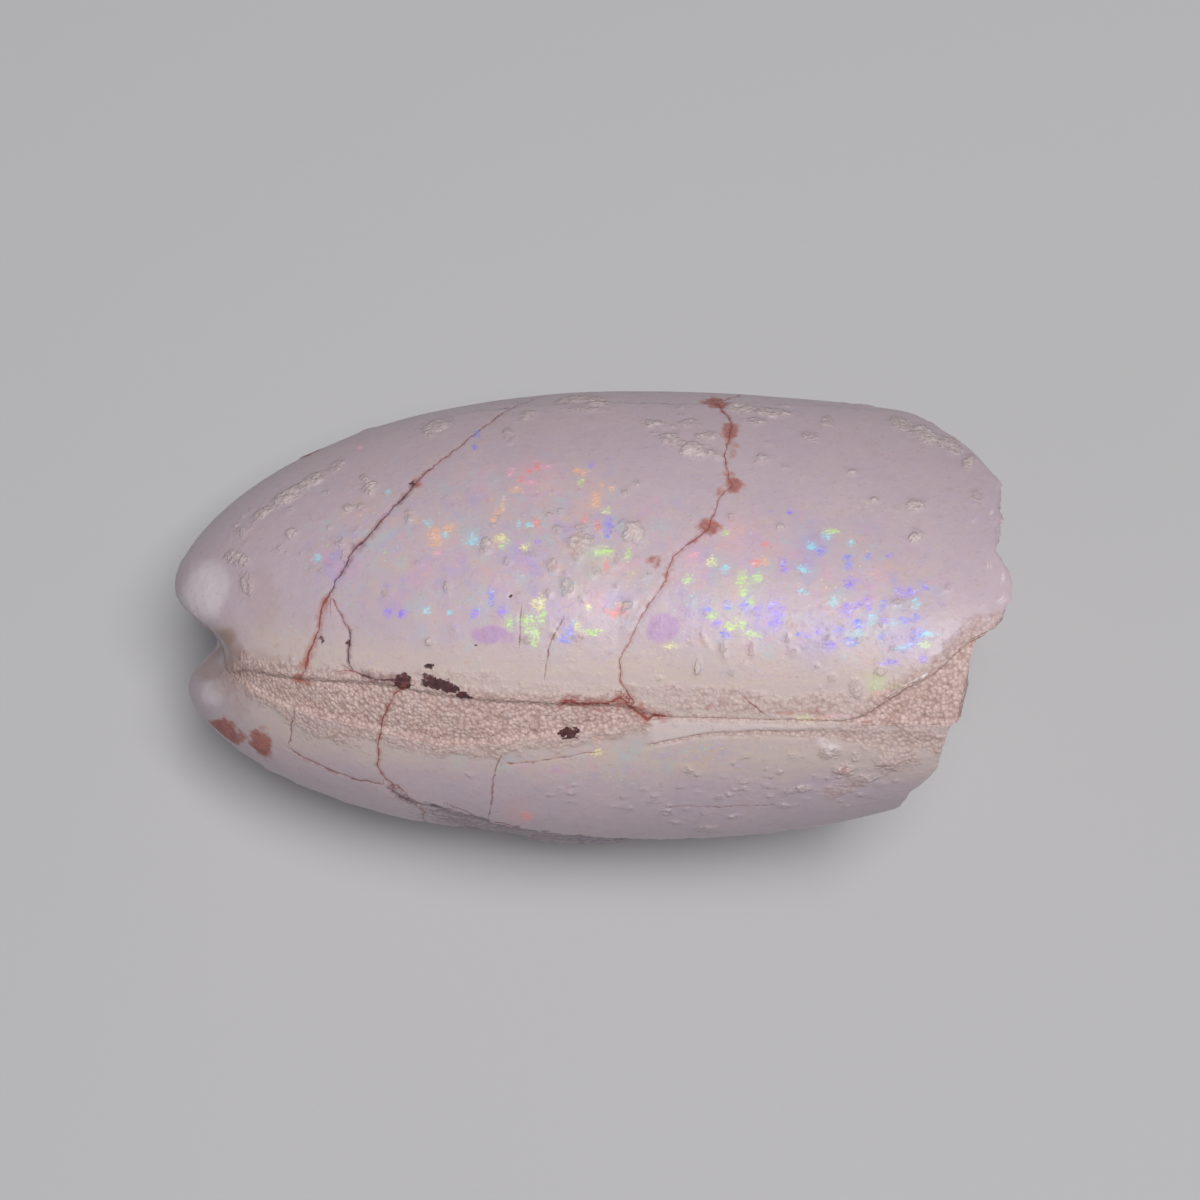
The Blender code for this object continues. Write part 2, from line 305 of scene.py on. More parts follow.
# Rows and columns of the fine meshes
def front_places():
    """Places of the rows in front of the widest one, evenly spaced along the outline."""
    angle = np.linspace(np.arcsin(FIRST_SHARE), np.pi / 2, OUTLINE_STEPS)
    x, height = WIDEST_X - BEAK_REACH * np.cos(angle), HINGE_HEIGHT * np.sin(angle)
    length = np.concatenate([[0.0], np.cumsum(np.hypot(np.diff(x), np.diff(height)))])
    return np.interp(np.linspace(0.0, length[-1], FRONT_ROWS + 1)[:-1], length, x)


def row_places(theta, edge):
    """Place along x of every point of a grid, its last rows stretched to the broken edge."""
    front = np.broadcast_to(front_places()[:, None], (FRONT_ROWS, theta.shape[1]))
    share = np.linspace(0.0, 1.0, BACK_ROWS + 1)[:, None]
    back = WIDEST_X + (edge(theta[FRONT_ROWS:]) - WIDEST_X) * share
    return np.concatenate([front, back])


def column_shares(count, near_share, near_columns):
    """Shares of an arc for its columns, closer together on the side towards the hinge."""
    steps = np.linspace(0.0, 1.0, count + 1)
    near = near_share * (steps / near_columns) ** NEAR_SPACING
    far = near_share + (1.0 - near_share) * (steps - near_columns) / (1.0 - near_columns)
    return np.where(steps < near_columns, near, far)


def settle(theta, places, angles, rounds):
    """Places along x and angles of a grid in which each depends on the other."""
    for _ in range(rounds):
        x = places(theta)
        theta = angles(x)
    return x, theta


def arc_grid(side, lip, edge, shares, depth):
    """Points and angles of a face of a valve, from its lip to the belly edge."""
    def places(theta):
        return row_places(theta, edge)

    def angles(x):
        start = angle_at(x[:, :1], along(lip, x[:, :1]), side, depth)
        return start + (np.pi - start) * shares

    theta = np.pi * np.broadcast_to(shares, (FRONT_ROWS + BACK_ROWS + 1, len(shares)))
    x, theta = settle(theta, places, angles, ARC_ROUNDS)
    return section(x, theta, side, depth), theta


def ragged_edge(points, side):
    """The broken edge as a function of the angle, with small teeth."""
    def edge(theta):
        teeth, apart = [], np.full(theta.shape, TEETH_APART * side)
        places = np.stack([theta * HINGE_HEIGHT, apart, np.zeros(theta.shape)], axis=-1)
        for step, (height, size) in enumerate(TEETH):
            teeth.append(height * value_noise(places, size, TEETH_SEED + step))
        return around(points, theta) + sum(teeth)
    return edge


def grid_normals(points, side):
    """Outward normals of a grid of points."""
    down = np.gradient(points, axis=0)
    across = np.gradient(points, axis=1)
    normal = side * np.cross(down, across)
    return normal / np.maximum(np.linalg.norm(normal, axis=-1, keepdims=True), 1e-9)


# Marks listed in pixels of the photograph: the middle, half width and half height of
# each spot, its turn in degrees, clockwise, and its strength
CRUST_FLAKES = (
    (242, 531, 7, 5, 0, 0.7), (262, 514, 14, 5, -35, 0.8), (287, 497, 18, 7, -28, 1.0),
    (313, 481, 17, 6, -30, 1.0), (337, 466, 10, 4, -40, 0.8), (291, 534, 6, 5, 0, 0.8),
    (239, 560, 12, 8, 10, 0.7), (247, 585, 8, 14, -15, 0.6), (230, 556, 5, 5, 0, 0.8),
    (348, 508, 6, 5, 0, 0.7), (362, 508, 5, 5, 0, 0.6), (371, 488, 9, 6, -30, 0.9),
    (366, 480, 6, 4, 20, 0.7), (339, 541, 8, 7, 30, 0.5), (322, 569, 14, 5, -10, 0.4),
    (437, 427, 17, 7, -18, 0.9), (509, 436, 6, 9, -20, 0.8), (527, 416, 10, 5, -20, 0.7),
    (410, 516, 5, 8, 10, 0.6), (486, 545, 6, 9, 20, 0.8), (447, 588, 4, 8, 0, 0.5),
    (387, 594, 5, 4, 0, 0.5), (418, 563, 5, 5, 0, 0.4), (506, 562, 5, 4, 0, 0.6),
    (553, 565, 5, 8, -10, 0.8), (568, 585, 7, 8, 20, 0.8), (575, 542, 9, 7, -15, 0.8),
    (560, 531, 8, 6, 30, 0.6), (577, 555, 6, 9, 20, 0.7), (588, 541, 8, 6, 10, 0.7),
    (599, 530, 7, 5, 0, 0.4), (618, 560, 9, 6, -30, 0.4), (594, 572, 7, 6, 0, 0.4),
    (634, 533, 11, 12, 0, 1.0), (625, 525, 6, 6, 0, 0.7), (560, 511, 4, 3, -40, 0.5),
    (625, 492, 4, 4, 0, 0.8), (637, 485, 4, 4, 0, 0.7), (556, 490, 3, 3, 0, 0.5),
    (430, 641, 7, 6, 0, 0.6), (453, 630, 4, 7, 0, 0.4), (527, 640, 5, 4, 0, 0.8),
    (572, 398, 17, 5, -8, 0.9), (598, 401, 14, 6, 5, 0.9), (585, 409, 20, 3, 0, 0.6),
    (655, 425, 13, 5, 10, 0.7), (672, 440, 16, 6, 15, 0.7), (694, 451, 14, 8, 10, 1.0),
    (706, 437, 12, 5, -10, 0.7), (688, 424, 12, 5, 0, 0.6), (715, 455, 9, 5, 20, 0.6),
    (740, 408, 18, 5, 4, 0.9), (772, 413, 20, 5, 3, 0.9), (755, 421, 14, 4, 0, 0.6),
    (761, 458, 9, 4, -20, 0.7), (827, 422, 7, 5, 0, 0.7), (810, 437, 9, 5, 10, 0.7),
    (853, 472, 6, 4, 0, 0.8), (874, 500, 5, 3, 0, 0.8), (914, 505, 11, 5, -15, 0.9),
    (916, 537, 8, 6, -30, 0.9), (780, 526, 4, 5, 0, 0.8), (731, 518, 4, 6, 0, 0.6),
    (900, 424, 13, 6, 20, 0.8), (925, 434, 16, 8, 25, 0.9), (950, 446, 14, 8, 35, 0.9),
    (968, 462, 7, 10, 20, 0.8), (978, 497, 8, 9, 0, 0.5), (898, 602, 9, 4, 0, 0.5),
    (948, 588, 4, 5, 0, 0.4), (697, 669, 4, 8, 5, 0.9), (731, 672, 4, 7, 0, 0.5),
    (723, 650, 3, 10, 0, 0.7), (752, 650, 3, 8, 10, 0.6), (787, 638, 3, 4, 0, 0.7),
    (856, 690, 6, 10, -20, 0.9), (880, 672, 7, 6, 0, 0.7), (818, 666, 2, 2, 0, 0.9),
    (660, 678, 3, 2, 0, 0.6), (705, 640, 12, 2, 60, 0.4), (666, 810, 7, 4, 10, 0.6),
    (654, 797, 5, 4, 0, 0.6), (688, 770, 6, 4, 0, 0.6), (784, 806, 7, 3, 0, 0.7),
    (734, 816, 7, 3, 0, 0.6), (804, 788, 9, 4, -15, 0.9), (868, 779, 12, 4, -12, 0.9),
    (844, 770, 12, 6, 0, 1.0), (888, 762, 14, 8, -10, 0.8), (830, 752, 12, 6, 0, 0.8),
    (705, 828, 12, 4, 0, 0.7), (676, 822, 8, 3, 0, 0.5), (620, 806, 9, 3, 0, 0.4),
    (560, 790, 5, 4, 0, 0.4), (470, 775, 5, 3, 0, 0.4), (745, 756, 6, 3, 0, 0.4),
)
# Beds where small flakes lie close together: middle, half width and half height
FLAKE_BEDS = ((560, 560, 90, 90), (740, 430, 110, 40), (840, 650, 110, 30), (800, 780, 110, 30),
              (300, 520, 70, 50), (640, 800, 110, 20))
RUST_SPOTS = (
    (224, 730, 17, 10, 22, 0.95), (236, 737, 8, 6, 0, 0.8), (262, 743, 9, 14, -25, 0.95),
    (298, 677, 6, 4, 20, 0.8), (308, 682, 5, 4, 0, 0.6), (305, 663, 4, 8, 0, 0.6),
    (416, 484, 5, 5, 0, 0.7), (715, 402, 12, 7, 10, 0.8), (729, 431, 9, 8, 0, 0.8),
    (732, 447, 6, 10, 0, 0.5), (734, 484, 13, 10, 10, 0.85), (720, 492, 6, 6, 0, 0.6),
    (709, 527, 10, 8, -10, 0.9), (656, 561, 7, 9, 0, 0.65), (668, 568, 5, 9, 10, 0.5),
    (620, 699, 8, 7, 0, 0.5), (640, 709, 9, 6, 10, 0.6), (844, 771, 8, 4, 0, 0.5),
    (792, 712, 22, 3, -3, 0.45), (712, 706, 10, 3, -15, 0.35), (720, 700, 6, 3, 0, 0.3),
    (866, 724, 5, 4, 0, 0.4), (810, 742, 6, 3, 0, 0.35), (565, 702, 5, 3, 0, 0.6),
)
DARK_SPOTS = (
    (403, 680, 10, 8, 0, 0.85), (436, 684, 14, 7, 8, 0.8), (450, 689, 12, 6, 15, 0.8),
    (461, 695, 8, 5, 10, 0.8), (430, 666, 5, 4, 0, 0.8), (425, 676, 4, 3, 0, 0.7),
    (568, 733, 9, 6, 0, 0.75), (510, 597, 2.2, 2.2, 0, 1.4), (412, 484, 4, 5, 30, 0.5),
    (349, 644, 3, 5, 0, 0.7), (322, 640, 3, 4, 0, 0.4), (330, 652, 3, 2, 0, 0.4),
    (476, 646, 1.6, 1.6, 0, 0.8), (824, 666, 1.5, 1.5, 0, 0.7),
)
FILM_SPOTS = (
    (333, 729, 38, 13, 14, 0.75), (302, 702, 12, 9, 0, 0.7), (873, 736, 72, 10, 0, 0.9),
    (900, 758, 30, 14, -8, 0.6), (700, 694, 70, 9, 3, 0.5), (730, 704, 80, 9, 2, 0.6),
    (820, 704, 40, 10, 2, 0.6), (360, 668, 12, 6, 0, 0.4), (630, 726, 30, 7, 0, 0.6),
    (460, 676, 40, 6, 5, 0.4), (560, 690, 60, 7, 0, 0.35), (845, 786, 30, 8, -14, 0.4),
)
LUNULE_SPOTS = (
    (224, 640, 13, 15, 45, 1.1), (236, 664, 14, 26, -12, 0.9), (262, 664, 36, 12, 14, 0.35),
    (212, 652, 11, 14, 30, 0.9), (290, 684, 30, 14, 20, 0.3), (240, 700, 10, 20, 0, 0.3),
    (205, 640, 14, 8, 0, 0.6), (262, 600, 20, 34, -10, 0.2), (209, 670, 17, 14, 30, 0.75),
    (226, 684, 18, 14, 20, 0.5),
)
# Worn white beak and pale patches, with small painted highlight glints along the broken edge and on
# a glossy bump
WHITE_AND_GLINT_SPOTS = (
    (203, 594, 21, 34, 14, 1.0), (218, 580, 12, 20, -20, 0.7), (992, 512, 2, 2, 0, 0.9),
    (989, 566, 3, 1, 0, 0.8), (1003, 577, 1, 5, 0, 0.9), (1002, 600, 2, 3, 20, 0.9),
    (967, 624, 2, 3, 0, 0.8), (974, 521, 3, 1, 0, 0.6), (830, 745, 11, 4, 10, 0.7),
    (822, 741, 5, 4, 0, 0.6), (214, 690, 12, 15, 20, 0.7),
)
# Painted highlight glints on white chips at the broken corner, as a route of pixels with the half
# width at each
GLINT_ROUTE = ((874, 714, 1.6), (886, 704, 2.2), (894, 696, 2.0), (906, 687, 1.5), (922, 678, 1.4),
               (934, 672, 1.2))
LILAC_SPOTS = ((490, 635, 15, 9, -8, 1.0), (507, 639, 9, 7, 0, 0.6), (663, 628, 23, 14, -12, 1.2),
               (683, 612, 14, 8, -20, 0.4), (857, 585, 26, 9, 0, 0.25), (668, 597, 22, 6, 0, 0.3))

# Cracks: how dark each one is, and its route of pixels with the half width at each
CRACKS = (
    (0.35, ((517, 402, 0.5), (480, 430, 0.7), (440, 462, 0.9), (417, 480, 1.2))),
    (0.75, ((417, 480, 2.0), (410, 490, 1.8), (390, 511, 1.3), (376, 528, 1.8), (362, 544, 2.4),
            (354, 551, 2.3), (345, 566, 1.7), (334, 581, 1.5), (329, 594, 2.0))),
    (0.15, ((329, 594, 2.4), (321, 610, 2.7), (318, 630, 2.3), (310, 650, 2.7), (305, 667, 3.8))),
    (0.35, ((332, 598, 0.8), (343, 618, 0.9), (349, 630, 1.0))),
    (0.95, ((349, 630, 1.2), (350, 643, 1.8), (349, 660, 1.3), (351, 668, 1.2))),
    (0.20, ((345, 671, 2.0), (352, 671, 2.4), (358, 672, 2.2))),
    (0.90, ((358, 672, 3.2), (366, 675, 3.0), (376, 679, 2.4), (388, 680, 3.2), (402, 680, 4.6))),
    (0.30, ((403, 686, 2.4), (396, 693, 2.0), (387, 708, 1.6), (382, 720, 1.8), (381, 732, 1.5),
            (378, 748, 1.7), (378, 766, 1.4), (385, 778, 1.1), (395, 787, 0.9))),
    (0.25, ((715, 400, 1.4), (731, 422, 1.5), (729, 436, 1.5), (724, 457, 1.0), (727, 469, 1.1),
            (733, 485, 1.2), (721, 495, 1.1), (712, 518, 1.1), (709, 528, 1.4), (687, 545, 1.4),
            (672, 558, 1.3), (668, 570, 1.2), (666, 580, 0.9), (652, 600, 0.9), (640, 617, 0.8),
            (630, 640, 0.8), (620, 660, 1.0), (620, 680, 1.2), (626, 693, 1.8), (632, 703, 2.0))),
    (0.12, ((560, 706, 2.6), (568, 701, 4.0), (585, 704, 3.0), (608, 704, 4.0), (620, 698, 3.6),
            (636, 711, 4.0), (647, 719, 3.4), (655, 715, 3.2), (665, 716, 2.6))),
    (0.50, ((563, 620, 0.6), (550, 643, 0.9), (545, 675, 0.6))),
    (0.50, ((520, 612, 0.5), (521, 640, 0.6))),
    (0.50, ((740, 694, 0.5), (752, 704, 0.6), (766, 714, 0.5))),
    (0.55, ((296, 709, 0.6), (292, 723, 0.6), (290, 741, 0.5))),
    (0.45, ((291, 749, 0.6), (311, 762, 0.7), (334, 772, 0.7), (357, 780, 0.8), (381, 784, 0.8))),
    (0.85, ((390, 788, 1.2), (401, 798, 1.6), (413, 804, 1.3), (432, 808, 1.0), (452, 811, 0.8))),
    (0.50, ((499, 759, 0.5), (493, 781, 0.6), (490, 815, 0.5))),
    (0.30, ((506, 764, 0.4), (560, 758, 0.4), (602, 750, 0.4))),
    (0.45, ((672, 806, 0.3), (720, 807, 0.3), (776, 805, 0.3))),
)
# Cracks that run on out of sight: how dark, then place along x, degrees and half width in mm
FAR_CRACKS_UPPER = (
    (0.40, ((19.9, 93, 0.03), (22.5, 112, 0.05), (24.0, 128, 0.06), (28.2, 146, 0.05))),
    (0.30, ((31.2, 90, 0.07), (32.6, 104, 0.09), (31.8, 121, 0.05), (34.1, 139, 0.08),
            (33.6, 166, 0.05), (35.0, 180, 0.05))),
    (0.55, ((13.0, 118, 0.03), (20.0, 125, 0.04), (24.0, 128, 0.05))),
    (0.50, ((38.0, 116, 0.03), (36.5, 132, 0.05), (38.6, 150, 0.04), (37.2, 163, 0.03))),
)
FAR_CRACKS_LOWER = (
    (0.40, ((13.1, 27, 0.05), (14.6, 42, 0.06), (13.9, 66, 0.07), (16.4, 95, 0.06),
            (15.8, 130, 0.05), (17.0, 165, 0.04))),
    (0.60, ((16.2, 34, 0.05), (22.0, 51, 0.06), (28.5, 66, 0.06), (35.0, 79, 0.05))),
    (0.30, ((28.4, 59, 0.03), (30.0, 84, 0.07), (28.8, 108, 0.05), (31.5, 139, 0.07),
            (30.4, 180, 0.05))),
)

# Flecks of fire by colour: middle, half width and half height
FIRE_FLECKS = {
    "violet": (
        (591, 465, 2, 2), (537, 541, 2, 2), (475, 613, 3, 3), (502, 612, 3, 3), (783, 566, 3, 5),
        (790, 512, 2, 2), (847, 610, 5, 5), (758, 612, 3, 5), (771, 607, 3, 4), (777, 614, 5, 8),
        (774, 623, 5, 5), (717, 624, 3, 3), (818, 631, 3, 3), (808, 635, 3, 2), (885, 621, 4, 2),
        (924, 658, 3, 3), (889, 663, 6, 2), (388, 613, 3, 3), (907, 593, 7, 4), (402, 614, 3, 3),
        (473, 615, 2, 2), (850, 583, 4, 4), (868, 603, 3, 6), (890, 556, 3, 1.5),
        (860, 604, 3, 3), (830, 646, 5, 3), (773, 604, 2, 3), (925, 588, 2, 2)),
    "blue": (
        (477, 434, 2.5, 3), (475, 447, 2, 2), (608, 527, 3, 6), (492, 592, 3, 3),
        (492, 600, 2, 3), (570, 632, 4, 4), (565, 640, 4, 3), (847, 558, 3, 3), (848, 566, 3, 3),
        (868, 557, 2.5, 2), (746, 606, 4, 5), (726, 635, 4, 3), (858, 625, 6, 4),
        (850, 642, 5, 3), (839, 630, 3, 3), (905, 620, 6, 2), (919, 633, 5, 2.5),
        (912, 643, 4, 3), (881, 637, 3, 2), (727, 606, 3, 3), (707, 610, 3, 2), (822, 550, 3, 3),
        (800, 634, 3, 2), (916, 618, 3, 3), (883, 606, 2, 4)),
    "cyan": (
        (429, 523, 3, 2), (445, 535, 2, 2), (472, 542, 5, 2), (472, 537, 4, 1.5),
        (518, 524, 2, 2), (529, 525, 2, 2), (574, 622, 2, 2), (427, 610, 3, 2.5),
        (450, 612, 2, 2), (725, 568, 3, 3), (804, 569, 4, 2.5), (803, 592, 3, 2),
        (851, 543, 3, 2), (827, 536, 4, 2.5), (916, 604, 3, 4), (856, 634, 5, 3),
        (894, 622, 2.5, 2), (926, 634, 6, 2), (317, 558, 3, 3), (388, 492, 2, 2),
        (873, 618, 3, 4), (811, 546, 4, 2.5), (902, 648, 5, 2), (834, 602, 3, 3)),
    "green": (
        (502, 547, 2, 2), (542, 615, 2.5, 7), (509, 622, 2.2, 4.5), (527, 621, 5, 4),
        (534, 634, 3.5, 7), (528, 630, 3, 3), (743, 592, 3, 3.5), (742, 578, 3, 5),
        (757, 578, 3.5, 3), (593, 632, 7, 2), (687, 580, 3, 3), (751, 602, 3, 3),
        (831, 531, 5, 2), (726, 533, 2.5, 2), (897, 687, 6, 2), (606, 511, 3, 2),
        (603, 552, 6, 3), (628, 555, 2, 4), (730, 627, 4, 2.5), (741, 624, 3, 3),
        (752, 634, 6, 2), (712, 616, 3, 3), (581, 482, 2, 2), (925, 645, 6, 2)),
    "yellow": (
        (606, 512, 2.5, 2), (501, 540, 4, 3), (577, 627, 2.5, 5), (537, 603, 4, 3),
        (712, 562, 4, 3), (807, 719, 6, 2.4), (598, 752, 3, 2.5), (672, 646, 7, 1.5),
        (524, 548, 3, 2), (541, 606, 3, 6), (588, 607, 2, 2)),
    "orange": (
        (577, 471, 2, 2), (584, 472, 3, 2.5), (601, 485, 2, 2), (612, 489, 2, 2),
        (498, 513, 2.5, 3), (494, 520, 2, 2.5), (435, 538, 4, 6), (450, 528, 4, 3),
        (596, 500, 3, 5), (622, 605, 4, 2), (879, 695, 7, 2.5), (819, 718, 6, 2),
        (595, 738, 5, 2), (503, 505, 2, 5), (516, 490, 4, 2), (765, 561, 3, 3)),
    "red": (
        (529, 471, 2.5, 2.5), (537, 467, 2.5, 2), (537, 522, 2.5, 3.5), (584, 519, 2, 3),
        (606, 567, 2, 4), (615, 613, 7, 3), (765, 544, 3, 2), (756, 562, 4, 2.5),
        (527, 816, 4, 3), (521, 480, 2, 2), (597, 526, 2, 4)),
    "pink": (
        (437, 553, 2.5, 2.5), (838, 716, 9, 1.2), (892, 692, 5, 2), (360, 447, 2, 2),
        (511, 472, 3, 2.5), (693, 555, 4, 2), (546, 467, 4, 1.5), (530, 483, 4, 2)),
}
# Nets of fire: colour, middle and radius. Hazes: the same, and their strength
FIRE_NETS = (
    ("green", 606, 552, 15), ("yellow", 527, 548, 9), ("green", 690, 586, 13),
    ("green", 738, 628, 17), ("orange", 517, 493, 13), ("cyan", 922, 640, 11),
    ("teal", 836, 600, 8), ("green", 744, 584, 9), ("cyan", 885, 640, 14), ("teal", 835, 532, 9),
    ("orange", 596, 496, 9), ("yellow", 536, 600, 9), ("cyan", 862, 614, 12),
)
HAZES = (
    ("teal", 493, 482, 9, 0.35), ("pink", 537, 477, 25, 0.28), ("orange", 595, 500, 22, 0.24),
    ("violet", 513, 557, 16, 0.30), ("violet", 535, 563, 14, 0.25), ("violet", 453, 563, 15, 0.25),
    ("pink", 595, 607, 18, 0.35), ("blue", 617, 600, 11, 0.35), ("pink", 693, 557, 18, 0.30),
    ("pink", 740, 537, 24, 0.32), ("blue", 811, 545, 20, 0.35), ("teal", 836, 598, 11, 0.45),
    ("teal", 587, 741, 9, 0.50), ("red", 517, 812, 14, 0.20), ("teal", 458, 757, 12, 0.28),
    ("teal", 417, 604, 12, 0.30), ("violet", 392, 607, 14, 0.22), ("green", 876, 682, 11, 0.50),
    ("pink", 868, 580, 24, 0.24), ("violet", 905, 640, 24, 0.26), ("violet", 762, 612, 24, 0.25),
    ("green", 745, 590, 20, 0.20), ("violet", 560, 610, 16, 0.20), ("teal", 470, 530, 22, 0.20),
    ("orange", 440, 535, 14, 0.30), ("blue", 820, 640, 30, 0.15), ("blue", 500, 600, 16, 0.20),
    ("pink", 590, 745, 16, 0.20), ("teal", 640, 765, 30, 0.12), ("violet", 340, 560, 24, 0.15),
    ("green", 595, 560, 18, 0.22), ("violet", 690, 620, 26, 0.15), ("pink", 480, 480, 22, 0.15),
)
# Regions with a milky shimmer of faint colours: middle, half width, half height and turn
SHIMMER_FIELDS = ((525, 555, 170, 95, 0), (790, 590, 165, 75, 4), (620, 760, 150, 20, -2),
                  (370, 560, 70, 60, 0))
HUES = {
    "violet": (138, 112, 250), "blue": (108, 122, 250), "cyan": (132, 214, 242),
    "teal": (136, 188, 186), "green": (182, 244, 118), "yellow": (246, 232, 140),
    "orange": (250, 172, 124), "red": (244, 120, 108), "pink": (234, 156, 178),
}


# Fields of marks over the points of a surface. A point that the photograph doesn't show stands
# at the pixel place OFF_PHOTO, away from every mark.
OFF_PHOTO = -500.0
FAR_AWAY = 1e3
HAZE_LIMIT = 0.6


def spot_field(pixels, spots, ragged, edge=0.45):
    """Strength of a list of spots at each pixel place, with ragged outlines."""
    field = np.zeros(len(pixels))
    for x, y, half_width, half_height, turn, strength in spots:
        angle = np.radians(turn)
        across, down = pixels[:, 0] - x, pixels[:, 1] - y
        u = (across * np.cos(angle) + down * np.sin(angle)) / half_width
        v = (down * np.cos(angle) - across * np.sin(angle)) / half_height
        reach = np.hypot(u, v) * (1.0 + edge * ragged)
        field = np.maximum(field, strength * (1.0 - smoothstep(0.55, 1.35, reach)))
    return field


def route_field(places, routes):
    """Signed distance to the nearest route, its half width and its tint, at each place."""
    best = np.full(len(places), FAR_AWAY)
    signed, half, tint = best.copy(), np.zeros(len(places)), np.zeros(len(places))
    for shade, route in routes:
        for (x0, y0, w0), (x1, y1, w1) in zip(route, route[1:]):
            run = np.array([x1 - x0, y1 - y0], dtype=float)
            offset = places - np.array([x0, y0])
            share = np.clip(offset @ run / (run @ run), 0.0, 1.0)
            away = offset - share[:, None] * run
            distance = np.hypot(away[:, 0], away[:, 1])
            closer = distance < best
            turn = np.where(run[0] * away[:, 1] - run[1] * away[:, 0] < 0.0, -1.0, 1.0)
            best = np.where(closer, distance, best)
            signed = np.where(closer, turn * distance, signed)
            half = np.where(closer, w0 + (w1 - w0) * share, half)
            tint = np.where(closer, shade, tint)
    return signed, half, tint


def scattered(points, allowed, spots, seed, ragged):
    """Strength of seeded random spots on a surface, in the places that are allowed."""
    draw = np.random.default_rng(seed)
    count, sizes = spots
    choices = np.flatnonzero(allowed)
    field, pick = np.zeros(len(points)), draw.choice(choices, count, replace=False)
    for middle in points[pick]:
        radius, strength = draw.uniform(*sizes), draw.uniform(0.4, 1.0)
        gap = np.linalg.norm(points - middle, axis=1) / radius * (1.0 + 0.5 * ragged)
        field = np.maximum(field, strength * (1.0 - smoothstep(0.5, 1.3, gap)))
    return field


# How far a fleck's level reaches, in its half sizes, and how much brighter the surface is than
# the photograph's dim light shows it
FLECK_GROWTH = 2.6
FLECK_HEART = 0.2
PHOTO_GAIN = 1.3


def fleck_level(reach):
    """Level of a fleck, which falls from its middle outwards."""
    return np.clip((FLECK_GROWTH - reach) / (FLECK_GROWTH + FLECK_HEART), 0.0, 1.0)


def colour_rows(rgb):
    """A colour as the photograph's dim light shows it, in 0 to 255, as a surface colour."""
    share = np.array(rgb, dtype=float) / 255.0
    linear = np.where(share <= 0.04045, share / 12.92, ((share + 0.055) / 1.055) ** 2.4)
    return np.minimum(PHOTO_GAIN * linear, 1.0)


def fire_fields(pixels, points, seen, far_count, seed):
    """Colours and levels of the fire flecks, of the nets of fire and of the hazes."""
    colour = np.ones((len(pixels), 3)) * colour_rows(HUES["blue"])
    closest = np.full(len(pixels), FAR_AWAY)
    for hue, flecks in FIRE_FLECKS.items():
        for x, y, half_width, half_height in flecks:
            reach = np.hypot((pixels[:, 0] - x) / half_width, (pixels[:, 1] - y) / half_height)
            nearer = (reach < closest) & seen
            closest = np.where(nearer, reach, closest)
            colour[nearer] = colour_rows(HUES[hue])
    level = fleck_level(closest)
    net = np.zeros(len(pixels))
    for hue, x, y, radius in FIRE_NETS:
        reach = np.hypot(pixels[:, 0] - x, pixels[:, 1] - y) / radius
        near = 1.0 - smoothstep(0.3, 1.2, reach)
        taken = (near > net) & seen
        net = np.where(taken, near, net)
        colour[taken & (level < 0.2)] = colour_rows(HUES[hue])
    haze = np.zeros(len(pixels))
    haze_colour = np.ones((len(pixels), 3)) * colour_rows(HUES["pink"])
    for hue, x, y, radius, strength in HAZES:
        reach = np.hypot(pixels[:, 0] - x, pixels[:, 1] - y) / radius
        near = np.where(seen, strength * (1.0 - smoothstep(0.2, 1.5, reach)), 0.0)
        total = haze + near
        share = np.where(total > 0.0, near / np.maximum(total, 1e-6), 0.0)[:, None]
        haze_colour = haze_colour * (1.0 - share) + colour_rows(HUES[hue]) * share
        haze = np.minimum(total, HAZE_LIMIT)
    add_far_fire(points, ~seen, colour, level, far_count, seed)
    return colour, level, net, haze_colour, haze


def add_far_fire(points, hidden, colour, level, count, seed):
    """Clusters of small flecks on the sides that the photograph doesn't show."""
    draw = np.random.default_rng(seed)
    names = sorted(HUES)
    for middle in points[draw.choice(np.flatnonzero(hidden), count, replace=False)]:
        hue = colour_rows(HUES[names[draw.integers(len(names))]])
        for _ in range(draw.integers(3, 7)):
            place = middle + draw.normal(0.0, 0.9, 3)
            stretch = np.array([draw.uniform(0.6, 1.0), 1.0, 1.0])
            reach = np.linalg.norm((points - place) * stretch, axis=1) / draw.uniform(0.16, 0.34)
            near = fleck_level(reach)
            taken = hidden & (near > level)
            level[taken] = near[taken]
            colour[taken] = hue


def pack_colour(mesh, name, channels):
    """Write four numbers per point into a colour attribute."""
    layer = mesh.color_attributes.new(name, "FLOAT_COLOR", "POINT")
    values = np.stack(np.broadcast_arrays(*channels), axis=-1).astype(np.float32)
    layer.data.foreach_set("color", values.ravel())


# Surfaces of the two valves. A place shows in the photograph where it faces the camera by more
# than SEEN_FACING, and the marks on it fade in over SEEN_FADE.
SEEN_FACING = 0.08
SEEN_FADE = 0.10
RAGGED_SIZE = 0.9
FINE_SIZE = 0.35
# How far marks are pushed about in pixels, and the size of the bends in mm
WOBBLE = (1.3, 0.5)
CROOKED_SIZES = (0.4, 1.4)
# Random flakes and rust: how many, and their least and greatest radius in mm
FAR_FLAKES = (70, (0.2, 0.9))
SMALL_FLAKES = (90, (0.07, 0.30))
FAR_RUST = (10, (0.3, 1.1))
# Sand film from the lip: where it starts to fade, where it ends, and the ragged share of the end
FILM_REACH = (0.1, 1.2, 0.7)
CLOSED_LIP = 0.2
CLOSED_FILM = 0.45
OPEN_FILM = 0.9
FAR_FILM = 0.5
FAR_FIRE_CLUSTERS = {1: 26, -1: 16}
# Width from the seam over which the cream streaks fade out
STREAK_FADE = (2.4, 4.6)
LIP_ROUNDING = 0.05
EDGE_ROUNDING = 0.12
CHIP_SIZE = 0.8
CHIP_DEPTH = 0.5
CHIP_RISE = 0.05
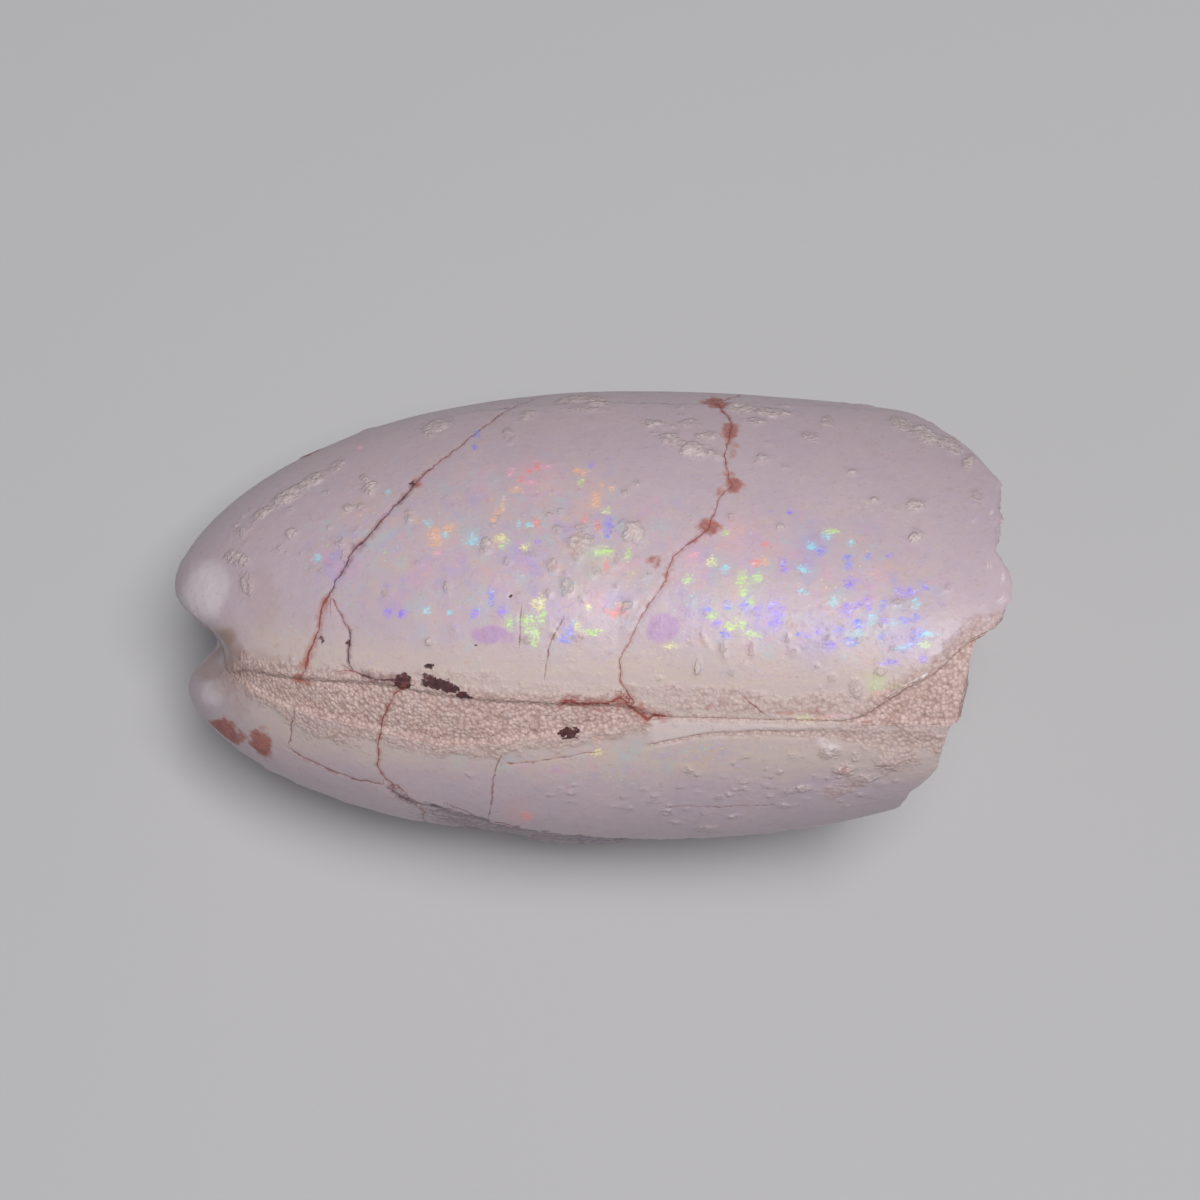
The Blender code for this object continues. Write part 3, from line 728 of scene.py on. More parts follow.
# Furrow of the lower valve: place along x and width from the seam, then half width
FURROW = ((26.6, 1.75), (27.0, 1.75), (28.0, 1.42), (29.8, 0.97), (33.0, 0.75), (36.0, 0.80),
          (39.5, 1.05), (45.0, 1.3))
FURROW_HALF_WIDTH = ((26.6, 0.10), (30.0, 0.12), (34.0, 0.20), (37.5, 0.45), (45.0, 0.9))
FURROW_START = 26.9
# Growth ledges: place along x and degrees round the section
LEDGE = ((13.0, 33.0), (16.2, 37.0), (18.7, 43.0), (22.0, 47.0), (26.6, 54.0), (32.0, 56.0),
         (38.0, 61.0), (43.0, 66.0))
TOP_LEDGE = ((15.0, 95.0), (22.5, 91.0), (26.0, 90.0), (29.6, 89.5), (33.5, 92.0), (40.0, 97.0))
CRACK_WANDER = 1.3
CRACK_REACH = 0.5
CRACK_DEPTH = 0.035
STAIN_REACH = 0.32
STAINED_HALF_WIDTH = 0.09
# Bends of the cracks out of sight: how far and how long, in mm
FAR_BENDS = ((0.35, 1.3), (0.1, 0.4))
LEDGE_DEPTH = 0.22
LEDGE_START = (12.0, 17.0)
LEDGE_MARK_WIDTH = 0.9
BAND_HEIGHT = 0.02
BANDS_PER_DEGREE = 1.9
TOP_LEDGE_DEPTH = 0.10
TOP_LEDGE_START = (14.0, 20.0)
TOP_LEDGE_END = (36.0, 42.0)
# Strength and half width in degrees of the dark line at the top ledge
TOP_LEDGE_MARK = (0.62, 0.5)
RIDGE_END = (36.2, 38.4)
RIDGE_HEIGHT = 0.07
FURROW_DEPTH = 0.13
FURROW_EASE = 0.4
# Bulge at the lower outline: place along x, half length, degrees, half turn and height
CRESCENT = (23.2, 3.2, 67.0, 6.0, 0.45)


def valve_marks(side, points, normals, places, theta, lip):
    """Every field of marks on the outer face of a valve, worked out once."""
    pixels = photo_pixels(points)
    facing = facing_photo(points, normals)
    seen, fade = facing > SEEN_FACING, smoothstep(SEEN_FACING, SEEN_FACING + SEEN_FADE, facing)
    ragged = layered_noise(points, RAGGED_SIZE, RAGGED_SEED, 3) * 1.5
    fine = layered_noise(points, FINE_SIZE, FINE_SEED, 2) * 1.4
    shown = pixels.copy()
    shown[~seen] = OFF_PHOTO
    wobbled = shown + WOBBLE[0] * drift(points, WOBBLE[1], WOBBLE_SEED)
    bends = [drift(points, size, seed) for size, seed in zip(CROOKED_SIZES, CROOKED_SEEDS)]
    crooked = shown + CRACK_WANDER * sum(bends)
    crust = fade * spot_field(wobbled, CRUST_FLAKES, fine, 0.5)
    crust = np.maximum(crust, 0.9 * scattered(points, ~seen, FAR_FLAKES, FAR_FLAKE_SEED, fine))
    small = scattered(points, near_beds(shown), SMALL_FLAKES, SMALL_FLAKE_SEED, ragged + fine)
    crust = np.maximum(crust, 0.7 * small)
    crust = crust * (0.75 + 0.5 * fine)
    rust = fade * spot_field(wobbled, RUST_SPOTS, ragged, 0.5)
    rust = np.maximum(rust, 0.8 * scattered(points, ~seen, FAR_RUST, FAR_RUST_SEED, fine))
    dark = fade * spot_field(wobbled, DARK_SPOTS, fine, 0.6)
    lip_width = along(lip, places[:, 0])
    near_lip = (places[:, 1] > 0.0) & (places[:, 0] > 2.0)
    start, end, ragged_share = FILM_REACH
    away = smoothstep(start, end + ragged_share * ragged, np.abs(places[:, 2]) - lip_width)
    film = np.where(near_lip, 1.0 - away, 0.0)
    film = film * np.where(lip_width < CLOSED_LIP, CLOSED_FILM, OPEN_FILM)
    film = np.maximum(film, fade * spot_field(shown, FILM_SPOTS, ragged, 0.5))
    film = np.maximum(film, np.where(seen, 0.0, FAR_FILM * smoothstep(0.25, 0.8, ragged)))
    marks = {"pixels": pixels, "seen": seen, "ragged": ragged, "fine": fine, "crust": crust,
             "rust": rust, "dark": dark, "film": film, "shown": shown}
    marks["lunule"] = fade * spot_field(shown, LUNULE_SPOTS, ragged, 0.3)
    marks["white"] = fade * spot_field(shown, WHITE_AND_GLINT_SPOTS, ragged, 0.15)
    marks["lilac"] = spot_field(wobbled, LILAC_SPOTS, ragged, 0.4)
    add_glints(marks)
    add_cracks(marks, side, points, places, theta, crooked)
    add_ledges(marks, side, places, theta)
    return marks


def near_beds(shown):
    """Where small flakes lie close together."""
    beds = np.zeros(len(shown), dtype=bool)
    for x, y, half_width, half_height in FLAKE_BEDS:
        beds |= np.hypot((shown[:, 0] - x) / half_width, (shown[:, 1] - y) / half_height) < 1.0
    return beds


def add_glints(marks):
    """Painted highlight glints on white chips, in dashes along the upper valve's broken corner."""
    signed, half, _ = route_field(marks["shown"], ((0.0, GLINT_ROUTE),))
    dashes = smoothstep(-0.25, 0.15, np.sin(marks["pixels"][:, 0] * 0.62))
    marks["glint"] = (1.0 - smoothstep(0.8, 2.2, np.abs(signed) / np.maximum(half, 0.1))) * dashes


def add_cracks(marks, side, points, places, theta, crooked):
    """Distance to the cracks that show, and to those that run on out of sight."""
    signed, half, tint = route_field(crooked, CRACKS)
    signed, half = signed * PIXEL_SIZE, half * PIXEL_SIZE
    unrolled = np.stack([places[:, 0], theta * HINGE_HEIGHT], axis=-1)
    for (reach, size), seed in zip(FAR_BENDS, FAR_BEND_SEEDS):
        unrolled = unrolled + reach * drift(points, size, seed)
    far = FAR_CRACKS_UPPER if side > 0 else FAR_CRACKS_LOWER
    routes = [(shade, [(x, np.radians(degrees) * HINGE_HEIGHT, width)
                       for x, degrees, width in route]) for shade, route in far]
    far_signed, far_half, far_tint = route_field(unrolled, routes)
    use_far = np.abs(far_signed) < np.abs(signed)
    signed = np.where(use_far, far_signed, signed)
    near = np.abs(signed) < CRACK_REACH
    marks["crack"] = np.where(near, signed, np.sign(signed) * CRACK_REACH)
    marks["crack_half"] = np.where(near, np.where(use_far, far_half, half), 0.0)
    marks["crack_tint"] = np.where(use_far, far_tint, tint)
    stain = np.exp(-(np.abs(signed) / STAIN_REACH) ** 2) * (0.5 + 0.5 * marks["ragged"])
    wide = np.clip(marks["crack_half"] / STAINED_HALF_WIDTH, 0.0, 1.0)
    marks["stain"] = np.clip(stain, 0.0, 1.0) * wide


def add_ledges(marks, side, places, theta):
    """Furrow, ridge and ledges that run along a valve, as heights and as marks, with painted shade
    in a band along the lower outline.
    """
    degrees = np.degrees(theta)
    marks["height"] = np.zeros(len(places))
    marks["ledge_and_shade"] = np.zeros(len(places))
    wave = 2.2 * marks["ragged"] + 1.2 * marks["fine"]
    if side > 0:
        off = degrees - along(TOP_LEDGE, places[:, 0]) - 0.5 * wave
        past = smoothstep(-0.8, 0.8, off)
        reach = smoothstep(*TOP_LEDGE_START, places[:, 0])
        reach = reach * (1.0 - smoothstep(*TOP_LEDGE_END, places[:, 0]))
        behind = 1.0 - smoothstep(8.0, 30.0, degrees - 90.0)
        marks["height"] -= TOP_LEDGE_DEPTH * past * reach * behind
        strength, width = TOP_LEDGE_MARK
        marks["ledge_and_shade"] = strength * np.exp(-(off / width) ** 2) * reach
        return
    width = np.abs(places[:, 2])
    ahead = smoothstep(FURROW_START - FURROW_EASE, FURROW_START + FURROW_EASE, places[:, 0])
    ahead = ahead * (places[:, 1] > 0.0)
    off = (width - along(FURROW, places[:, 0]) + 0.07 * marks["ragged"])
    off = off / along(FURROW_HALF_WIDTH, places[:, 0])
    furrow = np.exp(-off ** 2) * ahead
    ridge = smoothstep(0.02, 0.35, width) * smoothstep(0.5, 1.6, -off) * ahead
    ridge = ridge * (1.0 - smoothstep(*RIDGE_END, places[:, 0]))
    marks["height"] += RIDGE_HEIGHT * ridge - FURROW_DEPTH * furrow
    marks["film"] = np.maximum(marks["film"] * (1.0 - 0.8 * ridge), 0.95 * furrow)
    marks["white"] = np.maximum(marks["white"], 0.35 * ridge)
    beyond = degrees - along(LEDGE, places[:, 0]) - wave
    reach = smoothstep(*LEDGE_START, places[:, 0])
    past = smoothstep(-0.7, 0.7, beyond) * reach
    marks["height"] -= LEDGE_DEPTH * past * (1.0 - smoothstep(25.0, 60.0, beyond))
    bands = np.sin(beyond * BANDS_PER_DEGREE + 0.8 * marks["ragged"])
    bands = bands * (1.0 - smoothstep(6.0, 30.0, beyond))
    marks["height"] += BAND_HEIGHT * bands * past
    # Past the lower valve's growth step the colour darkens in bands: dark growth bands together
    # with painted shade along the lower outline
    below = past * (1.0 - smoothstep(30.0, 60.0, beyond))
    marks["ledge_and_shade"] = reach * np.exp(-(beyond / LEDGE_MARK_WIDTH) ** 2)
    marks["ledge_and_shade"] += below * (0.5 + 0.5 * smoothstep(0.2, 0.9, bands))
    middle, half_length, degrees_down, half_turn, bulge = CRESCENT
    marks["height"] += (bulge * np.exp(-((places[:, 0] - middle) / half_length) ** 4)
                        * np.exp(-((degrees - degrees_down) / half_turn) ** 2))


# Relief of a valve's outer face: height and size of the bumps
UNDULATION = (0.07, 6.0)
SURFACE_GRAIN = (0.005, 0.3)
FILM_RELIEF = (0.028, 0.26)
LUMP_SIZE = 0.32
CRUST_HEIGHT = (0.03, 0.16)


def valve_height(marks, points, distance_to_lip, distance_to_break):
    """How far the outer face stands above or below its plain form, in millimetres."""
    undulation = UNDULATION[0] * layered_noise(points, UNDULATION[1], UNDULATION_SEED, 3)
    grain = SURFACE_GRAIN[0] * value_noise(points, SURFACE_GRAIN[1], SURFACE_SEED)
    lumps = 0.5 + 0.5 * value_noise(points, LUMP_SIZE, LUMP_SEED)
    crust = np.clip(marks["crust"], 0.0, 1.0)
    relief = crust * (CRUST_HEIGHT[0] + CRUST_HEIGHT[1] * lumps)
    width = np.maximum(1.4 * marks["crack_half"], 0.02)
    cracks = CRACK_DEPTH * np.exp(-(marks["crack"] / width) ** 2) * (marks["crack_half"] > 0.0)
    film = FILM_RELIEF[0] * marks["film"] * (0.4 + value_noise(points, FILM_RELIEF[1], FILM_SEED))
    height = marks["height"] + undulation + grain + relief - cracks + film
    height = height - 0.05 * marks["dark"] + 0.03 * marks["rust"] * (lumps - 0.3)
    height = height - rounding(distance_to_lip, LIP_ROUNDING)
    return height - rounding(distance_to_break, EDGE_ROUNDING)


def rounding(distance, radius):
    """Drop of a rounded edge, given the distance to it."""
    left = np.clip(radius - distance, 0.0, radius)
    return radius - np.sqrt(radius ** 2 - left ** 2)


def zipper(fine, coarse, turned):
    """Triangles between a fine row of points and a coarse one beside it."""
    faces, last = [], len(coarse) - 1
    reached = [round((j / (len(fine) - 1)) * last) for j in range(len(fine))]
    for j in range(len(fine) - 1):
        faces.append((fine[j], coarse[reached[j]], fine[j + 1]))
        if reached[j + 1] > reached[j]:
            faces.append((coarse[reached[j]], coarse[reached[j + 1]], fine[j + 1]))
    return [face[::-1] for face in faces] if turned else faces


def grid_faces(index, turned):
    """Quads of a grid of point numbers."""
    quads = np.stack([index[:-1, :-1], index[1:, :-1], index[1:, 1:], index[:-1, 1:]], axis=-1)
    quads = quads.reshape(-1, 4)
    return (quads[:, ::-1] if turned else quads).tolist()


def straight_rows(first, last, count):
    """Rows of points between two matching rows, without the two themselves."""
    shares = np.linspace(0.0, 1.0, count + 1)[1:-1]
    return [first + (last - first) * share for share in shares]


def valve_channels(marks, points, places, theta, side):
    """Colour attributes of the outer face, four channels to each."""
    pixels, seen = marks["shown"], marks["seen"]
    fire, level, net, haze_colour, haze = fire_fields(
        pixels, points, seen, FAR_FIRE_CLUSTERS[side], FAR_FIRE_SEED + side)
    shimmer = np.zeros(len(points))
    for x, y, half_width, half_height, turn in SHIMMER_FIELDS:
        spot = ((x, y, half_width, half_height, turn, 1.0),)
        shimmer = np.maximum(shimmer, spot_field(pixels, spot, marks["ragged"], 0.3))
    shimmer = np.maximum(shimmer, np.where(seen, 0.0, 0.5 + 0.5 * marks["ragged"]))
    width = np.abs(places[:, 2])
    streaks = 1.0 - smoothstep(*STREAK_FADE, width + 0.5 * marks["ragged"])
    streaks = streaks * (places[:, 1] > 0.0) * smoothstep(2.0, 8.0, places[:, 0])
    rust = np.maximum(marks["rust"], 0.5 * marks["stain"] * (1.0 - marks["crack_tint"]))
    zero, crack = np.zeros(len(points)), marks["crack"] + CRACK_REACH
    return {
        "marks": (marks["crust"], rust, marks["dark"], marks["film"]),
        "tints": (marks["lilac"], marks["white"], marks["lunule"], zero),
        "fire": (fire[:, 0], fire[:, 1], fire[:, 2], level),
        "haze": (haze_colour[:, 0], haze_colour[:, 1], haze_colour[:, 2], haze),
        "lines": (crack, marks["crack_half"], marks["crack_tint"], marks["ledge_and_shade"]),
        "extra": (net, shimmer, streaks, marks["glint"]),
    }


SHARP_DEGREES = 48.0
# What each channel holds at the points past those given: the walls and the inside
PLAIN_CHANNELS = {
    "marks": (0.0, 0.0, 0.0, 0.15), "tints": (0.0, 0.0, 0.0, 1.0), "fire": (0.2, 0.2, 1.0, 0.0),
    "haze": (0.5, 0.3, 0.4, 0.0), "lines": (1.0, 0.0, 0.0, 0.0), "extra": (0.0, 0.2, 0.0, 0.0),
}


def make_valve(name, side, lip, broken, near_share):
    """One valve: a fine outer face, broken and groove edges of its wall, and a coarse inside."""
    edge = ragged_edge(broken, side)
    shares = column_shares(ARC_COLUMNS, near_share, NEAR_COLUMNS)
    outer, theta = arc_grid(side, lip, edge, shares, 0.0)
    inner, _ = arc_grid(side, lip, edge, shares, WALL)
    fine_inner, inner = inner[-1], lay_down(inner[:, ::INNER_STEP])
    world = lay_down(outer)
    normals = grid_normals(world, side)
    steps = np.linalg.norm(np.diff(world, axis=1), axis=-1)
    from_lip = np.concatenate([np.zeros((len(world), 1)), np.cumsum(steps, axis=1)], axis=1)
    rows = np.linalg.norm(np.diff(world, axis=0), axis=-1)[::-1]
    from_break = np.concatenate([np.zeros((1, world.shape[1])), np.cumsum(rows, axis=0)])[::-1]
    flat = [item.reshape(-1, 3) for item in (world, normals, outer)]
    marks = valve_marks(side, *flat, theta.ravel(), lip)
    from_belly = from_lip[:, -1:] - from_lip
    edges = np.minimum(from_lip, from_belly + 0.1).ravel()
    height = valve_height(marks, flat[0], edges, from_break.ravel())
    channels = valve_channels(marks, flat[0], flat[2], theta.ravel(), side)
    world = world + normals * height.reshape(theta.shape)[..., None]
    if side < 0:
        world[..., 2] = np.maximum(world[..., 2], 0.0)
    points, faces = wrap_valve(world, inner, lay_down(fine_inner), side)
    return make_piece(name, points, faces, channels)


def wrap_valve(outer, inner, fine_inner, side):
    """Close a valve: belly edge, inside, groove edge, front cap and broken wall."""
    belly = np.stack(straight_rows(outer[:, -1], inner[:, -1], RIM_ROWS), axis=1)
    groove = np.stack(straight_rows(inner[:, 0], outer[:, 0], RIM_ROWS), axis=1)
    blocks, indices, start = [outer, belly, inner, groove], [], 0
    for block in blocks:
        size = block.shape[0] * block.shape[1]
        indices.append(np.arange(start, start + size).reshape(block.shape[:2]))
        start += size
    outer_at, belly_at, inner_at, groove_at = indices
    turned = side < 0
    ring = [outer_at, belly_at, inner_at[:, ::-1], groove_at, outer_at[:, :1]]
    ring = np.concatenate(ring, axis=1)
    faces = grid_faces(ring, turned)
    front = [(start, ring[0, j], ring[0, j + 1]) for j in range(ring.shape[1] - 1)]
    faces += [face[::-1] for face in front] if turned else front
    wall = [outer_at[-1]]
    rows = straight_rows(outer[-1], fine_inner, RIM_ROWS)
    count, number = outer.shape[1], start + 1
    fade = np.minimum(1.0, np.minimum(np.arange(count), np.arange(count)[::-1]) / 4.0)
    for step, row in enumerate(rows):
        chips = layered_noise(row, CHIP_SIZE, CHIP_SEED, 3) * CHIP_DEPTH + CHIP_RISE
        row[:, 0] += chips * fade
        places = np.arange(number, number + count - 2)
        blocks.append(row[None, 1:-1])
        number += count - 2
        wall.append(np.concatenate([[groove_at[-1, RIM_ROWS - 2 - step]], places,
                                    [belly_at[-1, step]]]))
    faces += grid_faces(np.array(wall), turned)
    faces += zipper(wall[-1], inner_at[-1], turned)
    points = [block.reshape(-1, 3) for block in blocks]
    points.insert(4, ring_middle(points, ring[0]))
    return np.concatenate(points), faces


def ring_middle(blocks, ring):
    """The middle of a ring of points, as one row."""
    return np.concatenate(blocks[:4])[ring].mean(axis=0)[None]


def make_piece(name, points, faces, channels):
    """A smooth mesh object at the origin. Points past the channels take the plain ones."""
    mesh = bpy.data.meshes.new(name)
    mesh.from_pydata((points * MM).tolist(), [], faces)
    mesh.shade_smooth()
    mesh.set_sharp_from_angle(angle=np.radians(SHARP_DEGREES))
    for label, given in channels.items():
        filled = [np.concatenate([channel, np.full(len(points) - len(channel), value)])
                  for channel, value in zip(given, PLAIN_CHANNELS[label])]
        pack_colour(mesh, label, filled)
    piece = bpy.data.objects.new(name, mesh)
    bpy.context.scene.collection.objects.link(piece)
    return piece


# The sandstone between the valves
GROOVE_DEPTH = 0.22
LIP_OVERLAP = 0.12
FLANK_DEPTH = WALL - 0.05
FILL_START_X = 3.0
FILL_END_INSET = 0.22
GRAIN_SIZE = 0.19
GRAIN_HEIGHT = 0.06
CLUMP_HEIGHT = 0.10
CLUMP_SIZE = 1.1
SMOOTH_UNTIL = (5.5, 7.5)
END_RELIEF = 0.8
END_SIZE = 4.0
BANK_RISE = 0.18
UPPER_BANK_RISE = 0.08
BANK_FADE = (0.05, 0.45)
OPEN_LIP = (0.2, 0.8)
# Marks of the photograph show on the sand above SEEN_LEVEL, and a crack's up to 8 pixels away
SEEN_LEVEL = 14.0
SAND_RAGGED_SIZE = 0.7
SAND_WOBBLE = 1.2
CRACK_PIXELS = 8.0


def filling_places(theta, side):
    """Place along x of the filling's rows at an angle, which may differ from row to row."""
    rows = (slice(None),) + (None,) * (theta.ndim - 1)
    front = np.linspace(0.0, 1.0, FILL_FRONT_ROWS, endpoint=False)[rows] ** FILL_SPACING
    front = FILL_START_X + (WIDEST_X - FILL_START_X) * front
    front = np.broadcast_to(front, theta[:FILL_FRONT_ROWS].shape)
    share = np.linspace(0.0, 1.0, FILL_BACK_ROWS + 1)[rows]
    edge = around(UPPER_BREAK if side > 0 else LOWER_BREAK, theta[FILL_FRONT_ROWS:])
    return np.concatenate([front, WIDEST_X + (edge - FILL_END_INSET - WIDEST_X) * share])


def settle_filling(theta, side, angles):
    """Places and angles of the filling's points, given how an angle follows from a place."""
    return settle(theta, lambda turned: filling_places(turned, side), angles, FILL_ROUNDS)


def band_half(widths, side):
    """Points of the groove band on one side of the seam, for a grid of widths."""
    width = np.abs(widths) + SEAM_HALF_GAP
    x, theta = settle_filling(np.zeros(widths.shape), side, lambda x: angle_at(x, width, side))
    d = section(x, theta, side, GROOVE_DEPTH, 0.0)[..., 1]
    return np.stack([x, d, widths], axis=-1)


def lip_reach(lip, side):
    """Width from the seam to the lip, for each row of the filling."""
    theta = np.zeros(FILL_FRONT_ROWS + FILL_BACK_ROWS + 1)
    x, _ = settle_filling(theta, side, lambda x: angle_at(x, along(lip, x), side))
    return along(lip, x) + LIP_OVERLAP


def flank(reach, side):
    """Points of one side of the filling, from under the lip to the belly."""
    shares = np.linspace(0.0, 1.0, FLANK_COLUMNS + 1)

    def angles(x):
        start = angle_at(x[:, :1], reach[:, None], side, FLANK_DEPTH)
        return start + (np.pi - start) * shares

    x, theta = settle_filling(np.zeros((len(reach), FLANK_COLUMNS + 1)), side, angles)
    return section(x, theta, side, FLANK_DEPTH, 0.0)


def filling_grid():
    """Rings of the filling: the groove band, the upper flank, then the lower flank."""
    upper, lower = lip_reach(UPPER_LIP, 1), lip_reach(LOWER_LIP, -1)
    shares = np.linspace(0.0, 1.0, BAND_COLUMNS + 1)
    widths = -lower[:, None] + (upper + lower)[:, None] * shares
    band = np.where(widths[..., None] >= 0.0, band_half(widths, 1), band_half(widths, -1))
    to_lip = np.minimum(widths + lower[:, None], upper[:, None] - widths)
    ring = np.concatenate([band, flank(upper, 1), flank(lower, -1)[:, -2::-1]], axis=1)
    return ring, to_lip


def grain_relief(points):
    """Height of the sand grains and of the loose lumps that they form."""
    nearest, tint = cell_distance(points, GRAIN_SIZE, GRAIN_SEED)
    clumps = layered_noise(points, CLUMP_SIZE, CLUMP_SEED, 3)
    return GRAIN_HEIGHT * (0.55 - nearest) * (0.6 + 0.5 * tint) + CLUMP_HEIGHT * clumps


def make_filling(name):
    """The sandstone: grains along the groove and on the broken end, and plain hidden flanks."""
    ring, to_lip = filling_grid()
    world = lay_down(ring)
    count = world.shape[1]
    outward = lay_down(ring + np.array([0.0, 1.0, 0.0])) - world
    height = grain_relief(world[:, :BAND_COLUMNS + 1].reshape(-1, 3)).reshape(to_lip.shape)
    height = height * (0.25 + 0.75 * smoothstep(*SMOOTH_UNTIL, ring[:, :1, 0]))
    apart = smoothstep(*OPEN_LIP, along(UPPER_LIP, ring[:, :1, 0]))
    rise = BANK_RISE + UPPER_BANK_RISE * apart * (ring[:, :BAND_COLUMNS + 1, 2] > 0.0)
    banked = rise * (1.0 - smoothstep(*BANK_FADE, to_lip))
    world[:, :BAND_COLUMNS + 1] += outward[:, :BAND_COLUMNS + 1] * (height + banked)[..., None]
    rings, middle = [], world[-1].mean(axis=0)
    for step in range(1, END_ROWS):
        inner = middle + (world[-1] - middle) * (1.0 - step / END_ROWS)
        rough = grain_relief(inner) + END_RELIEF * layered_noise(inner, END_SIZE, END_SEED, 4)
        inner[:, 0] += rough * min(1.0, step / 3.0)
        rings.append(inner)
    grid = np.concatenate([world, np.array(rings)])
    index = np.arange(grid.shape[0] * count).reshape(grid.shape[0], count)
    index = np.concatenate([index, index[:, :1]], axis=1)
    faces = grid_faces(index, False)
    front, back = grid.shape[0] * count, grid.shape[0] * count + 1
    for j in range(count):
        faces.append((front, index[0, j], index[0, j + 1]))
        faces.append((back, index[-1, j + 1], index[-1, j]))
    points = np.concatenate([grid.reshape(-1, 3), grid[0].mean(axis=0)[None],
                             grid[-1].mean(axis=0)[None]])
    return make_piece(name, points, faces, filling_channels(points[:-2]))


def filling_channels(points):
    """Stains and cracks of the sand."""
    pixels = photo_pixels(points)
    ragged = layered_noise(points, SAND_RAGGED_SIZE, RAGGED_SEED, 3) * 1.5
    wobbled = pixels + ragged[:, None] * SAND_WOBBLE
    wobbled[points[:, 2] <= SEEN_LEVEL] = OFF_PHOTO
    rust = spot_field(wobbled, RUST_SPOTS, ragged, 0.5)
    dark = spot_field(wobbled, DARK_SPOTS, ragged, 0.6)
    lunule = spot_field(wobbled, LUNULE_SPOTS, ragged, 0.3)
    signed, half, shade = route_field(wobbled, CRACKS)
    zero, one = np.zeros(len(points)), np.ones(len(points))
    half = np.where(np.abs(signed) < CRACK_PIXELS, half * PIXEL_SIZE, 0.0)
    away = np.clip(signed * PIXEL_SIZE, -CRACK_REACH, CRACK_REACH)
    return {
        "marks": (zero, rust, dark, one), "tints": (zero, zero, lunule, zero),
        "lines": (away + CRACK_REACH, half, shade, zero),
    }


# Materials. The paints are colours as the photograph shows them, in 0 to 255.
PAINTS = {
    "cloud": (174, 159, 167), "warm cloud": (190, 172, 172), "pit": (158, 140, 145),
    "streak band": (184, 169, 162), "cream streak": (194, 178, 160),
    "faint violet": (146, 138, 200), "faint pink": (204, 148, 168), "faint teal": (146, 184, 190),
    "faint orange": (198, 168, 140), "fleck heart": (248, 244, 246),
    "milky fleck": (190, 174, 188), "red crack edge": (158, 92, 80),
    "dark crack edge": (92, 56, 64), "red crack": (136, 66, 58), "dark crack": (64, 36, 48),
    "pale rust": (182, 140, 130), "rust": (148, 92, 82), "deep rust": (116, 48, 40),
    "red rust": (166, 96, 82), "black stain": (36, 18, 26), "brown stain": (86, 46, 48),
    "dark grain": (180, 156, 150), "pale grain": (200, 179, 174), "grain gap shade": (138, 108, 102),
    "lilac": (170, 138, 174), "white": (214, 204, 208), "tan": (148, 118, 104),
    "loose grain": (170, 146, 130), "dark crust": (172, 154, 150), "pale crust": (218, 205, 203),
    "ledge_and_shade": (92, 78, 90), "pale break": (206, 194, 199), "dark break": (182, 164, 164),
    "glint": (250, 246, 250), "sand patch": (174, 144, 132), "sand speck": (140, 106, 94),
    "sand tan": (154, 132, 124), "upper valve": (180, 163, 172), "lower valve": (172, 157, 167),
}
VALVE_ROUGHNESS = {"upper valve": 0.40, "lower valve": 0.42}
VALVE_SPECULAR = 0.42
SUBSURFACE = {"Weight": 0.12, "Radius": (1.0, 0.75, 0.85), "Scale": 0.0006}
SPARK_SATURATION = 0.55
SPARK_VALUE = 0.86
SAND_ROUGHNESS = 0.95
SAND_SPECULAR = 0.3
BUMP_STRENGTH = 0.6
VALVE_BUMP = 0.00018
SAND_BUMP = 0.00014


def node(tree, kind, inputs=(), **settings):
    """Add a shader node, with its settings, and with values or links for its inputs."""
    made = tree.nodes.new(kind)
    for name, value in settings.items():
        setattr(made, name, value)
    for socket, value in dict(inputs).items():
        if isinstance(value, bpy.types.NodeSocket):
            tree.links.new(value, made.inputs[socket])
        else:
            made.inputs[socket].default_value = value
    return made


def blend(tree, factor, first, second, way="MIX"):
    """Mix two colours."""
    inputs = {0: factor, 6: first, 7: second}
    return node(tree, "ShaderNodeMix", inputs, data_type="RGBA", blend_type=way).outputs[2]


def maths(tree, operation, *values, clamp=False):
    """One step of arithmetic."""
    inputs = dict(enumerate(values))
    return node(tree, "ShaderNodeMath", inputs, operation=operation, use_clamp=clamp).outputs[0]


def ease(tree, low, high, value):
    """Ease a value from 0 at low to 1 at high."""
    inputs = {"Value": value, "From Min": low, "From Max": high}
    made = node(tree, "ShaderNodeMapRange", inputs, interpolation_type="SMOOTHSTEP")
    return made.outputs[0]


def attribute(tree, name):
    """The three channels and the fourth of a colour attribute, and the colour itself."""
    source = node(tree, "ShaderNodeAttribute", attribute_name=name)
    parts = node(tree, "ShaderNodeSeparateColor", {0: source.outputs["Color"]})
    return [*parts.outputs[:3], source.outputs["Alpha"], source.outputs["Color"]]


def noise(tree, place, scale, detail=3.0, rough=0.55):
    """Noise between 0 and 1, its scale in bumps per millimetre."""
    inputs = {"Vector": place, "Scale": scale, "Detail": detail, "Roughness": rough}
    return node(tree, "ShaderNodeTexNoise", inputs).outputs[0]


def paint(name):
    """A colour of the PAINTS, for a shader socket."""
    return (*colour_rows(PAINTS[name]), 1.0)


def millimetres(tree, stretch=(1.0, 1.0, 1.0)):
    """Object coordinates in millimetres, stretched along the axes."""
    source = node(tree, "ShaderNodeTexCoord").outputs["Object"]
    scale = [1000.0 * value for value in stretch]
    inputs = {0: source, 1: scale}
    return node(tree, "ShaderNodeVectorMath", inputs, operation="MULTIPLY").outputs[0]


def start_material(name):
    """An empty node material with its shader."""
    material = bpy.data.materials.new(name)
    material.use_nodes = True
    shader = material.node_tree.nodes["Principled BSDF"]
    return material, material.node_tree, shader


def speckle(tree, place, scale, detail=3.0, rough=0.6, spread=2.4):
    """Noise stretched so that it reaches from 0 to 1."""
    value = noise(tree, place, scale, detail, rough)
    return maths(tree, "MULTIPLY_ADD", value, spread, 0.5 - 0.5 * spread, clamp=True)


def scaled(tree, factor, value):
    """A value times a factor."""
    return maths(tree, "MULTIPLY", factor, value)


